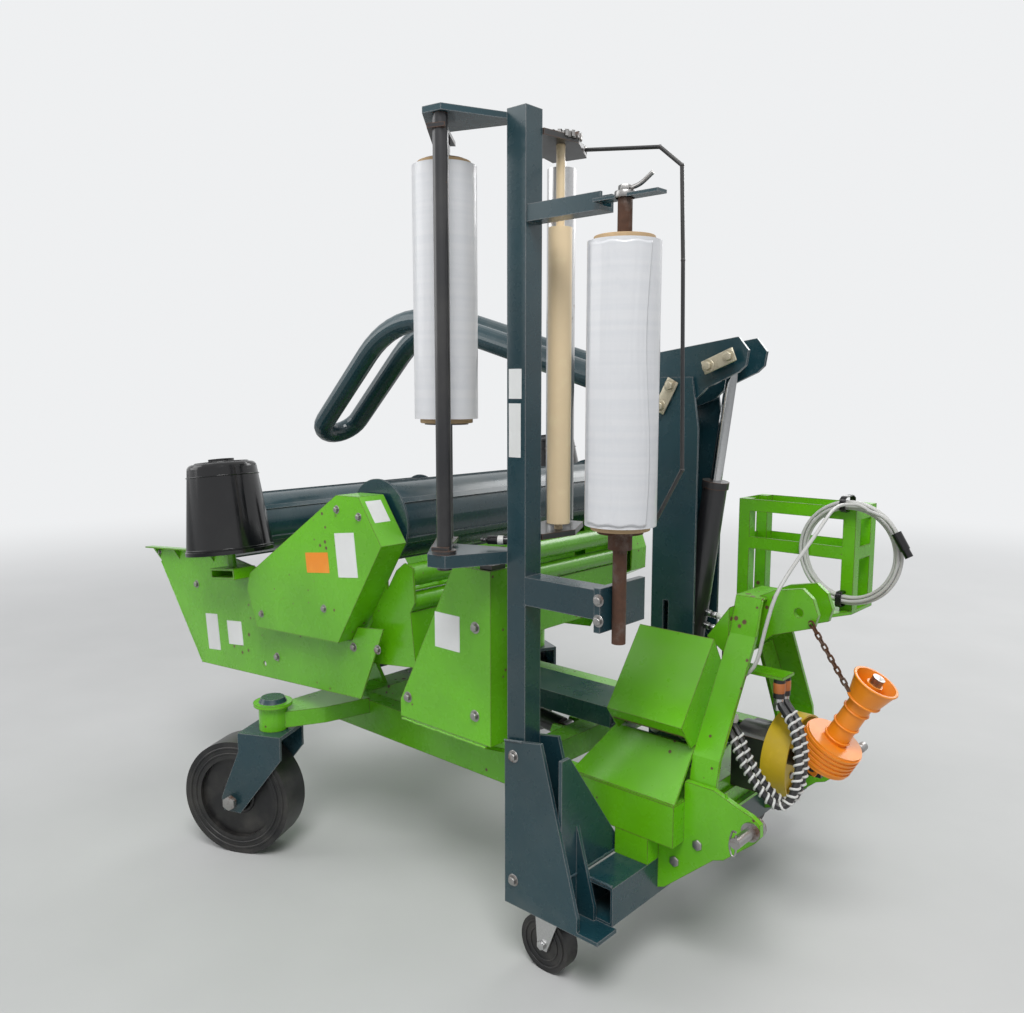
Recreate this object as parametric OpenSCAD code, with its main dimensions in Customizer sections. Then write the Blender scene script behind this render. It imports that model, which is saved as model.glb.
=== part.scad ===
// Three-point-mounted turntable bale wrapper on four parking casters.
// Units are millimetres, Z is up, +X points to the tractor and +Y to the machine's left.
// The origin is the centre of the footprint on the floor.

/* [Main frame] */
// height of the long beams' underside above the floor
beam_z = 290; // [286:1:300]
// height of the long beam channels
beam_h = 88; // [76:1:92]
// distance from the centre line to the outer face of each beam
beam_y = 295; // [280:1:300]
// how far the rear caster posts stand off the centre line
post_y = 525; // [515:1:540]

/* [Casters] */
// diameter of the two large rear caster wheels
big_wheel_d = 304; // [280:1:304]
// tread width of the large wheels
big_wheel_w = 90; // [70:1:96]
// diameter of the two small front caster wheels
small_wheel_d = 124; // [110:1:124]

/* [Film mast] */
// height of the film mast's top above the floor
mast_top = 1746; // [1720:1:1900]
// side of the square mast tube
mast_w = 48; // [40:1:50]
// length of the film rolls
film_w = 498; // [480:1:502]
// outside diameter of a full film roll
film_d = 130; // [110:1:138]

/* [Turntable] */
// how far the parked table leans to the rear, in degrees
table_tilt = 7; // [5:0.5:8]
// diameter of the two bale rollers
roller_d = 192; // [180:1:194]
// half the distance between the two roller axes
roller_x = 386; // [380:1:392]
// half the length of the bale rollers
roller_y = 415; // [400:1:416]
// distance from the centre line to the outer face of each side panel
panel_y = 465; // [462:1:470]

/* [Loading arm] */
// diameter of the loop arm's tube
arm_tube_d = 62; // [54:1:64]
// distance between the two legs of the loop
arm_gap = 131; // [120:1:140]
// width of the square column that carries the loading arm
column_w = 112; // [104:1:116]

/* [Output] */
// which part to draw

/* [Hidden] */
$fn = 48;
// running gap between pieces that turn or slide on each other
gap = 0.3;
// paint
GREEN = [0.42, 0.74, 0.10];
TEAL = [0.12, 0.24, 0.28];
BLACK = [0.06, 0.06, 0.07];
STEEL = [0.62, 0.63, 0.65];
RUST = [0.30, 0.18, 0.14];
WHITE = [0.90, 0.91, 0.92];
CREAM = [0.87, 0.80, 0.64];
ORANGE = [0.95, 0.50, 0.06];
GREY = [0.66, 0.66, 0.64];

// heights and lines of the frame
beam_top = beam_z + beam_h;
web_t = 6;
flange_w = 50;
beam_rear = -1262;
beam_front = -150;
// cross members: rear face, front face and top
CROSS = [[beam_rear, beam_rear + 80, beam_top - web_t], [-632, -572, beam_z + 66],
    [beam_front - 86, beam_front, beam_top - web_t]];
// large casters: post, trail and resting direction of the wheel from the post
post_x = -1222;
post_top = 410;
post_bottom = 338;
trail = 92;
rest_dir = 206;
fork_top = post_bottom - gap;
cap_h = 12;
// small casters
small_x = -340;
small_y = 425;
small_trail = 26;
foot_room = 24;
base_z = small_wheel_d + foot_room;
// hitch
pin_z = 363;
pin_r = 11;
pin_end = 320;
hitch_y = 240;
plate_t = 14;
ear_z = 757;
ear_x = -16;
head_back = -150;
head_depth = 62;
// mast
mast_x = -442;
mast_y = -473;
foot_top = 498;
base_front = -210;
base_top = 233;
// stretcher
swing_x = -514;
swing_y = -579;
film_x = -583;
film_y = -503;
arm_low = 868;
arm_high = mast_top - 18;
film_z = arm_high - 72 - film_w;
spare_x = -170;
spare_y = -468;
spare_z = 974;
// underside of the channel that holds the spare spindle's top
spare_top = spare_z + film_w + 61;
cream_x = -415;
cream_y = -343;
ridge_x = -478;
ridge_y = -262;
plate_low = 916;
plate_high = mast_top - 46;
// table
table_x = -1290;
table_z = 855;
pivot_x = -1290;
pivot_z = 425;
// column and arm
col_x = -368;
column_top = 1245;
head_x = -337;
head_z = 1203;
rod_x = -205;
rod_z = 1277;
// lift cylinder: foot pin, then the distance to the rod's eye and its lean
lift_x = -290;
lift_z = 640;
lift_len = norm([rod_x - lift_x, rod_z - lift_z]);
lift_lean = atan2(rod_x - lift_x, rod_z - lift_z);
lift_tube = 378;
// tilt cylinder: foot pin and rod eye
foot_px = -660;
foot_pz = 330;
eye_px = -1050;
eye_pz = 372;
tilt_len = norm([eye_px - foot_px, eye_pz - foot_pz]);
tilt_lean = atan2(eye_px - foot_px, eye_pz - foot_pz);
tilt_tube = 250;
// folded drive shaft: joint centre, centre of the upper bell's rim and that rim's radius
cross_x = 20;
cross_z = 425;
bell_x = 135;
bell_z = 632;
bell_r = 46.6;
bell_lean = atan2(bell_x - cross_x, bell_z - cross_z);
bell_len = norm([bell_x - cross_x, bell_z - cross_z]);
table_low = -366;
cover_in = 430;
cover_out = 505;
// guide cones: distance off the centre line, rim and top radius, rim and top height, stub radius
cone_y = 497;
cone_r = 115;
cone_top_r = 92;
cone_low = -60;
cone_high = 185;
cone_pin_r = 12;
RIGHT_COVER = [[343, 74], [426, 66], [491, -50], [293, -282], [-59, -262], [-88, -158], [-66, -116]];
LEFT_COVER = [[343, 74], [426, 66], [494, -80], [518, -178], [508, -242], [430, -268], [424, -236],
    [296, -236], [288, -30]];
// rear corner of the side panels in the table's frame
lip_x = -690;
lip_z = -43;
panel_low = -428;
// centre of the footprint in machine coordinates, in which X = 0 is at the lower hitch pins
rear_x = table_x + lip_x * cos(table_tilt) - lip_z * sin(table_tilt);
front_x = bell_x + bell_r * cos(bell_lean);
foot_x = (rear_x + front_x) / 2;

// control cable from its gland to the coil, and its tail from the coil to the plug
cable_d = 8;
CABLE = [[-134, -104, 612], [-128, -104, 612], [-122, -104, 612], [-98, -104, 622], [-74, -106, 656],
    [-58, -107, 725], [-42, -97, 798], [-30, -50, 852], [-26, 0, 884], [-25, 50, 910], [-26, 100, 931],
    [-28, 150, 947], [-32, 196, 954], [-34, 230, 953], [-34, 240, 953], [-34, 250, 953]];
CABLE_TAIL = [[10, 250, 944], [10, 244, 944], [10, 238, 944], [32, 236, 945], [52, 236, 938],
    [66, 236, 922], [72, 236, 912], [78, 236, 902]];
// hank of the coiled cable: its bundle's eight-sided radius, turn radius and centre
hank_r = 13.3;
hank_turn = 112;
HANK = [-34, 250 + hank_r * cos(22.5), 841];
// hydraulic hose from the headstock's back plate to its coupler, and the step to the second hose
hose_d = 16;
coupler_top = 618;
HOSE = [[-142, -150, 528], [-134, -150, 528], [-126, -150, 528], [-96, -158, 500], [-66, -166, 455],
    [-30, -166, 412], [4, -158, 384], [24, -146, 392], [34, -132, 430], [28, -114, 480], [4, -92, 530],
    [-34, -72, 562], [-40, -68, 572], [-40, -68, 580]];
hose_step = 26;
// chain that holds the folded shaft up: peg, lean from the vertical, wire, inner size and number of links
CHAIN_PEG = [14, -48, 742];
chain_lean = 34;
chain_wire = 3.2;
link_long = 13;
link_wide = 5.6;
chain_links = 12;

// the bent guard rod's corners
GUARD = [[-416, -262, plate_high + 6], [-235, -262, plate_high - 19], [-185, -262, plate_high - 61],
    [-178, -262, 1463], [-169, -262, 1060], [-229, -262, 951]];

// loop arm: rise of its straight run and drop of its tail in degrees, bend and lengths
arm_rise = 16;
arm_drop = 43;
arm_bend_r = 330;
arm_run = 640;
arm_tail = 290;
arm_bend_x = -1145;
arm_bend_z = 1080;

// moves machine coordinates to the footprint's centre
module placed() {
    translate([-foot_x, 0, 0]) children();
}

// places a child in the table's own frame, tilted with the table
module on_table() {
    placed() translate([table_x, 0, table_z]) rotate([0, -table_tilt, 0]) children();
}

// a box from its two corners
module block(x0, x1, y0, y1, z0, z1) {
    translate([x0, y0, z0]) cube([x1 - x0, y1 - y0, z1 - z0]);
}

// the same shape on both sides of the centre line
module both_sides() {
    children();
    mirror([0, 1, 0]) children();
}

// a plate cut to an X-Z outline, from y0 to y1
module xz_plate(points, y0, y1) {
    translate([0, y1, 0]) rotate([90, 0, 0]) linear_extrude(y1 - y0) polygon(points);
}

// a plate cut to a Y-Z outline, from x0 to x1
module yz_plate(points, x0, x1) {
    translate([x0, 0, 0]) rotate([90, 0, 90]) linear_extrude(x1 - x0) polygon(points);
}

// a plate cut to an X-Y outline, from z0 to z1
module xy_plate(points, z0, z1) {
    translate([0, 0, z0]) linear_extrude(z1 - z0) polygon(points);
}

// a round bar along Y
module bar_y(x, z, r, y0, y1) {
    translate([x, y0, z]) rotate([-90, 0, 0]) cylinder(h = y1 - y0, r = r);
}

// a round bar along X
module bar_x(y, z, r, x0, x1) {
    translate([x0, y, z]) rotate([0, 90, 0]) cylinder(h = x1 - x0, r = r);
}

// a round bar along Z
module bar_z(x, y, r, z0, z1) {
    translate([x, y, z0]) cylinder(h = z1 - z0, r = r);
}

// a hollow square tube along Y
module tube_y(x0, x1, y0, y1, z0, z1, wall) {
    difference() {
        block(x0, x1, y0, y1, z0, z1);
        block(x0 + wall, x1 - wall, y0 - 1, y1 + 1, z0 + wall, z1 - wall);
    }
}

// a round bar between two points
module rod_between(a, b, r) {
    d = b - a;
    len = norm(d);
    translate(a) rotate([0, acos(d[2] / len), atan2(d[1], d[0])]) cylinder(h = len, r = r);
}

// one long beam channel, open to the inside
module beam() {
    block(beam_rear, beam_front, -beam_y, -beam_y + web_t, beam_z, beam_top);
    block(beam_rear, beam_front, -beam_y, -beam_y + flange_w, beam_z, beam_z + web_t);
    block(beam_rear, beam_front, -beam_y, -beam_y + flange_w, beam_top - web_t, beam_top);
}

module main_frame() {
    color(GREEN) placed() {
        both_sides() beam();
        for (c = CROSS) tube_y(c[0], c[1], -beam_y + web_t, beam_y - web_t, beam_z + web_t, c[2], 5);
        both_sides() pivot_ear();
        both_sides() xz_plate([[-628, 302], [-676, 308], [-684, 330], [-676, 350], [-628, 352]], 31, 39);
        bar_y(foot_px, foot_pz, 8, -44, 44);
    }
}

// lug on the rear cross member that carries the tilt frame's pivot
module pivot_ear() {
    difference() {
        xz_plate([[-1266, beam_z + 20], [-1204, beam_top - web_t - 2], [-1262, pivot_z + 24],
            [-1312, pivot_z + 24], [-1318, pivot_z - 20]], 150, 162);
        bar_y(pivot_x, pivot_z, 12 + gap, 140, 170);
    }
}

module caster_arms() {
    color(GREEN) placed() both_sides() caster_arm();
}

// boss and arm for one large caster
module caster_arm() {
    difference() {
        union() {
            bar_z(post_x, -post_y, 37, post_bottom, post_top);
            bar_z(post_x, -post_y, 50, post_top - 8, post_top);
            xy_plate([[post_x - 30, -post_y + 10], [post_x + 34, -post_y + 10], [post_x + 82, -post_y + 105],
                [post_x + 112, -beam_y], [post_x - 36, -beam_y], [post_x - 36, -post_y + 105]], 378, 386);
            xy_plate([[post_x + 24, -post_y], [post_x + 34, -post_y + 10], [post_x + 82, -post_y + 105],
                [post_x + 112, -beam_y], [post_x + 104, -beam_y], [post_x + 74, -post_y + 109],
                [post_x + 20, -post_y + 8]], post_bottom + 5, 379);
        }
        bar_z(post_x, -post_y, 20 + gap, post_bottom - 1, post_top + 1);
    }
}

module hitch_plates() {
    color(GREEN) placed() both_sides() hitch_plate();
}

// side plate with the bore for the lower link pin, and the saddle between the base tube and the beam
module hitch_plate() {
    difference() {
        xz_plate([[base_front, 167], [-193, 174], [-80, 274], [-58, 282], [8, 340], [19, 355],
            [18, 380], [0, 392], [-29, 401], [-84, 421], [-150, 421], [-150, beam_z],
            [base_front, beam_z]], -hitch_y - plate_t, -hitch_y);
        bar_y(0, pin_z, pin_r + 2 + gap, -hitch_y - plate_t - 1, -hitch_y + 1);
    }
    block(-293, base_front, -beam_y, -hitch_y, base_top, beam_z);
}

module hitch_pins() {
    color(STEEL) placed() both_sides() hitch_pin();
}

// lower link pin with its shoulder outside the plate and its collar inside
module hitch_pin() {
    bar_y(0, pin_z, pin_r, -pin_end, -hitch_y - plate_t - 5);
    bar_y(0, pin_z, 19, -hitch_y - plate_t - 6, -hitch_y - plate_t);
    bar_y(0, pin_z, pin_r + 2, -hitch_y - plate_t - 1, -hitch_y + 1);
    bar_y(0, pin_z, 19, -hitch_y, -hitch_y + 14);
}

module headstock() {
    color(GREEN) placed() {
        difference() {
            yz_plate(head_outline(0), head_back, head_back + head_depth);
            yz_plate(head_outline(8), head_back + 8, head_back + head_depth + 1);
            yz_plate([[-150, 345], [-150, 450], [-50, 640], [50, 640], [150, 450], [150, 345]],
                head_back - 1, head_back + 10);
            block(head_back + 20, head_back + head_depth + 1, -200, 200, 290, 430);
        }
        both_sides() top_ear();
        bar_x(CABLE[0][1], CABLE[0][2], 9, head_back + 7, CABLE[0][0]);
        block(head_back + 7, -26, -82, -28, coupler_top, coupler_top + 6);
        bar_y(CHAIN_PEG[0], CHAIN_PEG[2], 2.2, -55, -41);
        difference() {
            xz_plate([[-201, 684], [head_back + 1, 756], [head_back + 1, 648]], -90, 90);
            xz_plate([[-188, 684], [head_back - 4, 734], [head_back - 4, 640], [-188, 640]], -84, 84);
        }
    }
}

// front view of the headstock, drawn in by a wall w
function head_outline(w) = [
    [-240 + w, 300 + w], [-240 + w, 400], [-225 + w, 470 - w / 4], [-85 + w, 700 - w / 3],
    [-60 + w / 2, 779 - w], [60 - w / 2, 779 - w],
    [85 - w, 700 - w / 3], [225 - w, 470 - w / 4], [240 - w, 400], [240 - w, 300 + w]];

// one of the two ears that hold the top link pin
module top_ear() {
    difference() {
        xz_plate([[-143, 640], [-70, 700], [18, 730], [26, 757], [14, 790], [-10, 809],
            [-73, 796], [-143, 760]], -42, -30);
        bar_y(ear_x, ear_z, 10, -43, -29);
    }
}

module valve_hood() {
    color(GREEN) placed() difference() {
        yz_plate([[-232, 484], [-272, 538], [-150, 699], [-64, 560], [-64, 520]], -335, head_back);
        yz_plate([[-228, 470], [-268, 538], [-150, 694], [-68, 560], [-68, 470]], -331, head_back - 4);
    }
}

module front_lid() {
    color(GREEN) placed() {
        intersection() {
            yz_plate([[-294, beam_top], [-288, beam_top], [-212, 484], [-218, 484]], -420, head_back);
            xz_plate([[-416, beam_top], [head_back, beam_top], [head_back, 484], [-349, 484]], -300, -100);
        }
        intersection() {
            xz_plate([[-416, beam_top], [-409, beam_top], [-342, 484], [-349, 484]], -294, -100);
            yz_plate([[-294, beam_top], [-100, beam_top], [-100, 484], [-218, 484]], -420, head_back);
        }
        block(-416, head_back, -294, -262, beam_top, beam_top + 4);
    }
}

module cutter_tower() {
    color(GREEN) placed() {
        xz_plate([[-796, 457], [-506, 457], [-506, 840], [-616, 840], [-796, 498]], -455, -451);
        block(-510, -506, -452, -402, 457, 840);
        block(-530, -506, -402, -398, 457, 840);
        yz_plate([[-455, 450], [-beam_y, beam_top], [-beam_y + 40, beam_top],
            [-beam_y + 40, beam_top + 8], [-beam_y + 2, beam_top + 8], [-451, 458]], -790, -520);
    }
}

module film_holder() {
    color(BLACK) placed() {
        block(-545, -510, -446, -404, 770, 850);
    }
}

module gearbox() {
    color(BLACK) placed() {
        block(head_back, -62, -60, 60, 350, 470);
        bar_x(0, cross_z, 58, head_back, -62);
        bar_x(0, cross_z, 17, -62, -4);
        bar_x(0, cross_z, 26, -14, -2);
        block(-4, 34, -12, 12, cross_z - 24, cross_z - 14);
        block(-4, 34, -12, 12, cross_z + 14, cross_z + 24);
        bar_z(cross_x, 0, 8, cross_z - 20, cross_z + 20);
        bar_y(cross_x, cross_z, 8, -28, 28);
    }
}

module pto_guard() {
    color([0.80, 0.62, 0.10]) placed() difference() {
        bar_x(0, cross_z, 100, -62, -6);
        bar_x(0, cross_z, 96, -58, -5);
        bar_x(0, cross_z, 35, -63, -5);
        block(-50, -5, -110, 110, 300, 372);
    }
}

module lift_column() {
    color(TEAL) placed() {
        difference() {
            block(col_x, col_x + column_w, -column_w / 2, column_w / 2, beam_top, column_top);
            block(col_x + 6, col_x + column_w + 1, -column_w / 2 + 5, column_w / 2 - 5, beam_top - 1,
                column_top + 1);
            block(col_x - 1, col_x + 7, -column_w / 2 + 5, column_w / 2 - 5, 1150, column_top + 1);
            xz_plate([[col_x + column_w - 18, column_top + 1], [col_x + column_w + 1, column_top - 120],
                [col_x + column_w + 1, column_top + 1]], -80, 80);
            block(col_x + 32, col_x + 46, -column_w / 2 - 1, -column_w / 2 + 6, 668, 738);
        }
        block(col_x - 44, CROSS[2][0], -90, 90, beam_top - 10, beam_top);
        tube_y(-330, -270, -beam_y + web_t, beam_y - web_t, beam_top - 62, beam_top - 10, 5);
        bar_y(head_x, head_z, 14, -column_w / 2 - 6, column_w / 2 + 6);
        bar_y(lift_x, lift_z, 12, -column_w / 2 - 6, column_w / 2 + 6);
    }
}

module mast_base() {
    color(TEAL) placed() difference() {
        union() {
            xz_plate([[mast_x, base_z], [-250, base_z], [-250, 180], [-346, 515], [mast_x, foot_top]],
                mast_y - 8, mast_y);
            xz_plate([[mast_x, base_z], [-250, base_z], [-250, 180], [-346, 515], [mast_x, foot_top]],
                mast_y + mast_w, mast_y + mast_w + 8);
            block(mast_x, -200, mast_y - 8, mast_y + mast_w + 8, base_z - 4, base_z + 4);
            tube_y(base_front - 80, base_front, mast_y + mast_w + 7, -mast_y - mast_w - 7, base_z + 4,
                base_top, 5);
            yz_plate([[mast_y - 1, base_z + 3], [mast_y - 1, 490], [-448, 490], [-262, base_top + 4],
                [-262, base_top - 1], [-417, base_top - 1], [-418, base_z + 3]], -304, -296);
        }
        bar_z(small_x, -small_y, 8 + gap, base_z - 5, base_z + 3 + gap);
    }
}

module left_base() {
    color(TEAL) placed() difference() {
        block(mast_x, -200, 372, 473, base_z - 4, base_z + 4);
        bar_z(small_x, small_y, 8 + gap, base_z - 5, base_z + 5);
    }
}

module film_mast() {
    color(TEAL) placed() {
        difference() {
            block(mast_x, mast_x + mast_w, mast_y, mast_y + mast_w, base_z + 4, mast_top);
            block(mast_x + 4, mast_x + mast_w - 4, mast_y + 4, mast_y + mast_w - 4, 160, mast_top - 4);
        }
        block(mast_x + mast_w - 1, -222, -470, -430, spare_top, spare_top + 8);
        block(mast_x + mast_w - 1, -222, -470, -464, spare_top, spare_top + 32);
        block(mast_x + mast_w - 1, -222, -436, -430, spare_top, spare_top + 32);
        block(-230, -95, -482, -454, spare_top + 12, spare_top + 18);
        block(mast_x + mast_w - 1, -196, -474, -426, 790, 847);
        block(-197, spare_x - 13 - gap, -509, -364, 777, 860);
        swing_arm(arm_low, arm_low + 26);
        swing_arm(arm_high, arm_high + 12);
    }
}

// arm from the mast that carries the film swing's tube
module swing_arm(z0, z1) {
    difference() {
        xy_plate([[mast_x + 1, mast_y + 2], [mast_x + 1, mast_y + 44], [film_x - 10, film_y + 20],
            [film_x - 30, film_y - 16], [swing_x - 24, swing_y - 24], [swing_x + 20, swing_y - 18]],
            z0, z1);
        bar_z(swing_x, swing_y, 15 + gap, z0 - 1, min(z1 + 1, arm_high + 1));
    }
}

module spare_spindle() {
    color(RUST) placed() {
        bar_z(spare_x, spare_y, 13, 753, spare_top + 12 - gap);
        bar_z(spare_x, spare_y, 42, spare_z - 15, spare_z - gap);
        bar_z(spare_x, spare_y, 22, spare_z - 45, spare_z - 14);
    }
}

module spare_roll() {
    color(WHITE) placed() difference() {
        bar_z(spare_x, spare_y, film_d / 2, spare_z, spare_z + film_w);
        bar_z(spare_x, spare_y, 38, spare_z - 1, spare_z + film_w + 1);
    }
}

module guard_rod() {
    color(BLACK) placed() {
        for (i = [0 : len(GUARD) - 2]) rod_between(GUARD[i], GUARD[i + 1], 4);
        for (i = [1 : len(GUARD) - 2]) translate(GUARD[i]) sphere(r = 4.6);
    }
}

module rack() {
    color(GREEN) placed() {
        for (x = [-325, -57]) for (y = [275, 370]) block(x, x + 30, y, y + 30, 699, 945);
        for (z = [820, 915]) {
            block(-325, -27, 275, 279, z, z + 30);
            block(-325, -27, 396, 400, z, z + 30);
            block(-325, -321, 275, 400, z, z + 30);
            block(-31, -27, 275, 400, z, z + 30);
        }
        xy_plate([[-190, 90], [-152, 90], [-100, 100], [-27, 275], [-27, 400], [-325, 400], [-325, 275]],
            692, 700);
    }
}

module stretcher_frame() {
    color(BLACK) placed() {
        stretch_plate(plate_low, plate_low + 12);
        stretch_plate(plate_high, plate_high + 12);
    }
}

// plate beside the mast that carries the ends of both stretch rollers
module stretch_plate(z0, z1) {
    difference() {
        xy_plate([[-470, -425], [-390, -425], [-380, -330], [-440, -225], [-520, -240]], z0, z1);
        bar_z(cream_x, cream_y, 9 + gap, z0 - 1, z1 + 1);
        bar_z(ridge_x, ridge_y, 9 + gap, z0 - 1, z1 + 1);
    }
}

module stretch_roller() {
    color(CREAM) placed() {
        bar_z(cream_x, cream_y, 24.5, plate_low + 24, plate_high - 160);
        bar_z(cream_x, cream_y, 9, plate_low, plate_high + 12);
    }
}

module ridge_roller() {
    color(STEEL) placed() {
        bar_z(ridge_x, ridge_y, 30.5, plate_low + 18, plate_high - 24);
        bar_z(ridge_x, ridge_y, 9, plate_low, plate_high + 12);
    }
}

module film_swing() {
    color(BLACK) placed() {
        bar_z(swing_x, swing_y, 15, arm_low - 6, arm_high - gap);
        bar_z(swing_x, swing_y, 24, arm_low + 26 + gap, arm_low + 34);
        swing_plate(arm_low + 33, arm_low + 41);
        swing_plate(arm_high - 28, arm_high - 20);
        bar_z(film_x, film_y, 12, arm_low + 40, arm_high - 27);
        bar_z(film_x, film_y, 45, film_z - 12, film_z - gap);
        bar_z(film_x, film_y, 45, film_z + film_w + gap, film_z + film_w + 12);
    }
}

// link between the swing's tube and the film roll's spindle
module swing_plate(z0, z1) {
    xy_plate([[swing_x + 22, swing_y - 10], [swing_x - 12, swing_y - 24], [film_x - 28, film_y - 4],
        [film_x + 4, film_y + 28]], z0, z1);
}

module film_roll() {
    color(WHITE) placed() difference() {
        bar_z(film_x, film_y, film_d / 2, film_z, film_z + film_w);
        bar_z(film_x, film_y, 38, film_z - 1, film_z + film_w + 1);
    }
}

// fork of a large caster, drawn with its wheel trailing towards -X
module big_fork() {
    plate_y = big_wheel_w / 2 + 8;
    bar_z(0, 0, 20, fork_top - 4, post_top + 4);
    translate([0, 0, post_top + gap]) cylinder(h = cap_h, r1 = 36, r2 = 30);
    block(-70, 52, -plate_y - 8, plate_y + 8, fork_top - 10, fork_top);
    both_sides() xz_plate([[-70, fork_top], [-70, fork_top - 50], [-trail - 32, big_wheel_d / 2 + 6],
        [-trail - 26, big_wheel_d / 2 - 28], [-trail + 22, big_wheel_d / 2 - 32], [52, fork_top - 62],
        [52, fork_top]], -plate_y - 8, -plate_y);
    bar_y(-trail, big_wheel_d / 2, 10, -plate_y - 16, plate_y + 16);
}

// large caster wheel about its axle
module big_wheel() {
    difference() {
        bar_y(-trail, big_wheel_d / 2, big_wheel_d / 2, -big_wheel_w / 2, big_wheel_w / 2);
        bar_y(-trail, big_wheel_d / 2, 10 + gap, -big_wheel_w, big_wheel_w);
        both_sides() bar_y(-trail, big_wheel_d / 2, big_wheel_d / 2 - 46, -big_wheel_w, -big_wheel_w / 2 + 14);
    }
}

module at_right_post() {
    placed() translate([post_x, -post_y, 0]) rotate([0, 0, rest_dir - 180]) children();
}

module at_left_post() {
    placed() translate([post_x, post_y, 0]) rotate([0, 0, 180 - rest_dir]) children();
}

module right_fork() {
    color(TEAL) at_right_post() big_fork();
}

module right_wheel() {
    color(BLACK) at_right_post() big_wheel();
}

module left_fork() {
    color(TEAL) at_left_post() big_fork();
}

module left_wheel() {
    color(BLACK) at_left_post() big_wheel();
}

// fork of a small caster with its wheel trailing towards -X
module small_fork() {
    bar_z(0, 0, 24, base_z - 12, base_z - 4 - gap);
    bar_z(0, 0, 8, base_z - 12, base_z + 3);
    block(-46, 20, -24, 24, base_z - 16, base_z - 12);
    both_sides() xz_plate([[-46, base_z - 12], [-small_trail - 12, small_wheel_d / 2 - 12],
        [-small_trail + 12, small_wheel_d / 2 - 12], [20, base_z - 12]], -24, -20);
    bar_y(-small_trail, small_wheel_d / 2, 6, -27, 27);
}

module small_wheel() {
    difference() {
        bar_y(-small_trail, small_wheel_d / 2, small_wheel_d / 2, -18, 18);
        bar_y(-small_trail, small_wheel_d / 2, 6 + gap, -20, 20);
    }
}

module right_small_fork() {
    color(BLACK) placed() translate([small_x, -small_y, 0]) small_fork();
}

module right_small_wheel() {
    color(BLACK) placed() translate([small_x, -small_y, 0]) small_wheel();
}

module left_small_fork() {
    color(BLACK) placed() translate([small_x, small_y, 0]) small_fork();
}

module left_small_wheel() {
    color(BLACK) placed() translate([small_x, small_y, 0]) small_wheel();
}

module tilt_frame() {
    color(TEAL) placed() {
        difference() {
            block(-1340, -470, -70, 70, 400, 450);
            block(-1334, -464, -64, 64, 406, 444);
        }
        block(-1318, -1262, -145, 145, pivot_z - 24, pivot_z + 24);
        bar_y(pivot_x, pivot_z, 12, -166, 166);
        both_sides() tilt_lug();
    }
    color(TEAL) on_table() difference() {
        union() {
            bar_z(0, 0, 60, -428, -372);
            bar_z(0, 0, 110, -380, table_low);
        }
        bar_z(0, 0, 25 + gap, -410, -360);
    }
}

// lug under the tilt frame with its half of the pin at the cylinder's rod eye
module tilt_lug() {
    xz_plate([[eye_px - 40, 401], [eye_px - 16, eye_pz - 16], [eye_px + 16, eye_pz - 16],
        [eye_px + 40, 401]], 22, 30);
    bar_y(eye_px, eye_pz, 8, 18, 38);
}

// frame of the tilt cylinder: its foot pin at the origin and its rod towards +Z
module along_tilt() {
    placed() translate([foot_px, 0, foot_pz]) rotate([0, tilt_lean, 0]) children();
}

// frame of the lift cylinder: its foot pin at the origin and its rod towards +Z
module along_lift() {
    placed() translate([lift_x, 0, lift_z]) rotate([0, lift_lean, 0]) children();
}

// cylinder barrel with its foot eye at the origin
module barrel(length, r, rod_r, eye_r, pin_hole) {
    difference() {
        union() {
            bar_y(0, 0, eye_r, -18, 18);
            bar_z(0, 0, r, 14, length);
            bar_z(0, 0, r + 3, length - 16, length);
        }
        bar_y(0, 0, pin_hole + gap, -20, 20);
        bar_z(0, 0, rod_r + gap, 34, length + 1);
    }
}

// piston rod that starts inside the barrel, with its eye at the given distance
module piston(start, length, rod_r, eye_r, pin_hole) {
    difference() {
        union() {
            bar_z(0, 0, rod_r, start, length - 4);
            bar_y(0, length, eye_r, -16, 16);
        }
        bar_y(0, length, pin_hole, -20, 20);
    }
}

module tilt_barrel() {
    color(BLACK) along_tilt() barrel(tilt_tube, 25, 13, 20, 8);
}

module tilt_rod() {
    color(STEEL) along_tilt() piston(130, tilt_len, 13, 17, 9);
}

module table_frame() {
    color(GREEN) on_table() {
        bar_z(0, 0, 150, table_low + gap, table_low + 20);
        bar_z(0, 0, 25, -398, table_low + 1);
        block(-440, 300, -40, 40, -346, -286);
        block(-40, 40, -panel_y + 4, panel_y - 4, -346, -286);
        block(-380, -330, -panel_y + 4, panel_y - 4, -346, -296);
        block(250, 300, -panel_y + 4, panel_y - 4, -346, -296);
        block(478, 482, -cover_in + 1, cover_in - 1, -345, -214);
        bar_y(477, -128, 27, -cover_in + 1, cover_in - 1);
        bar_y(470, -191, 24, -cover_in + 1, cover_in - 1);
        both_sides() {
            bearing_plate(-roller_x, [], -panel_y + 4, -panel_y + 14);
            bearing_plate(roller_x, [[290, -346], [482, -345], [482, -214], [500, -191], [505, -110],
                [477, -98], [446, -115], [340, -240], [290, -300]], -cover_in, -cover_in + 5);
        }
    }
}

// plate from the frame up to one end of a roller's shaft, with a gusset of the given outline
module bearing_plate(x, gusset, y0, y1) {
    difference() {
        union() {
            xz_plate([[x - 50, -300], [x + 14, -300], [x + 30, 20], [x + 12, 36], [x - 12, 36],
                [x - 30, 20]], y0, y1);
            if (len(gusset) > 0) xz_plate(gusset, y0, y1);
        }
        bar_y(x, 0, 17 + gap, y0 - 1, y1 + 1);
    }
}

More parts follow.
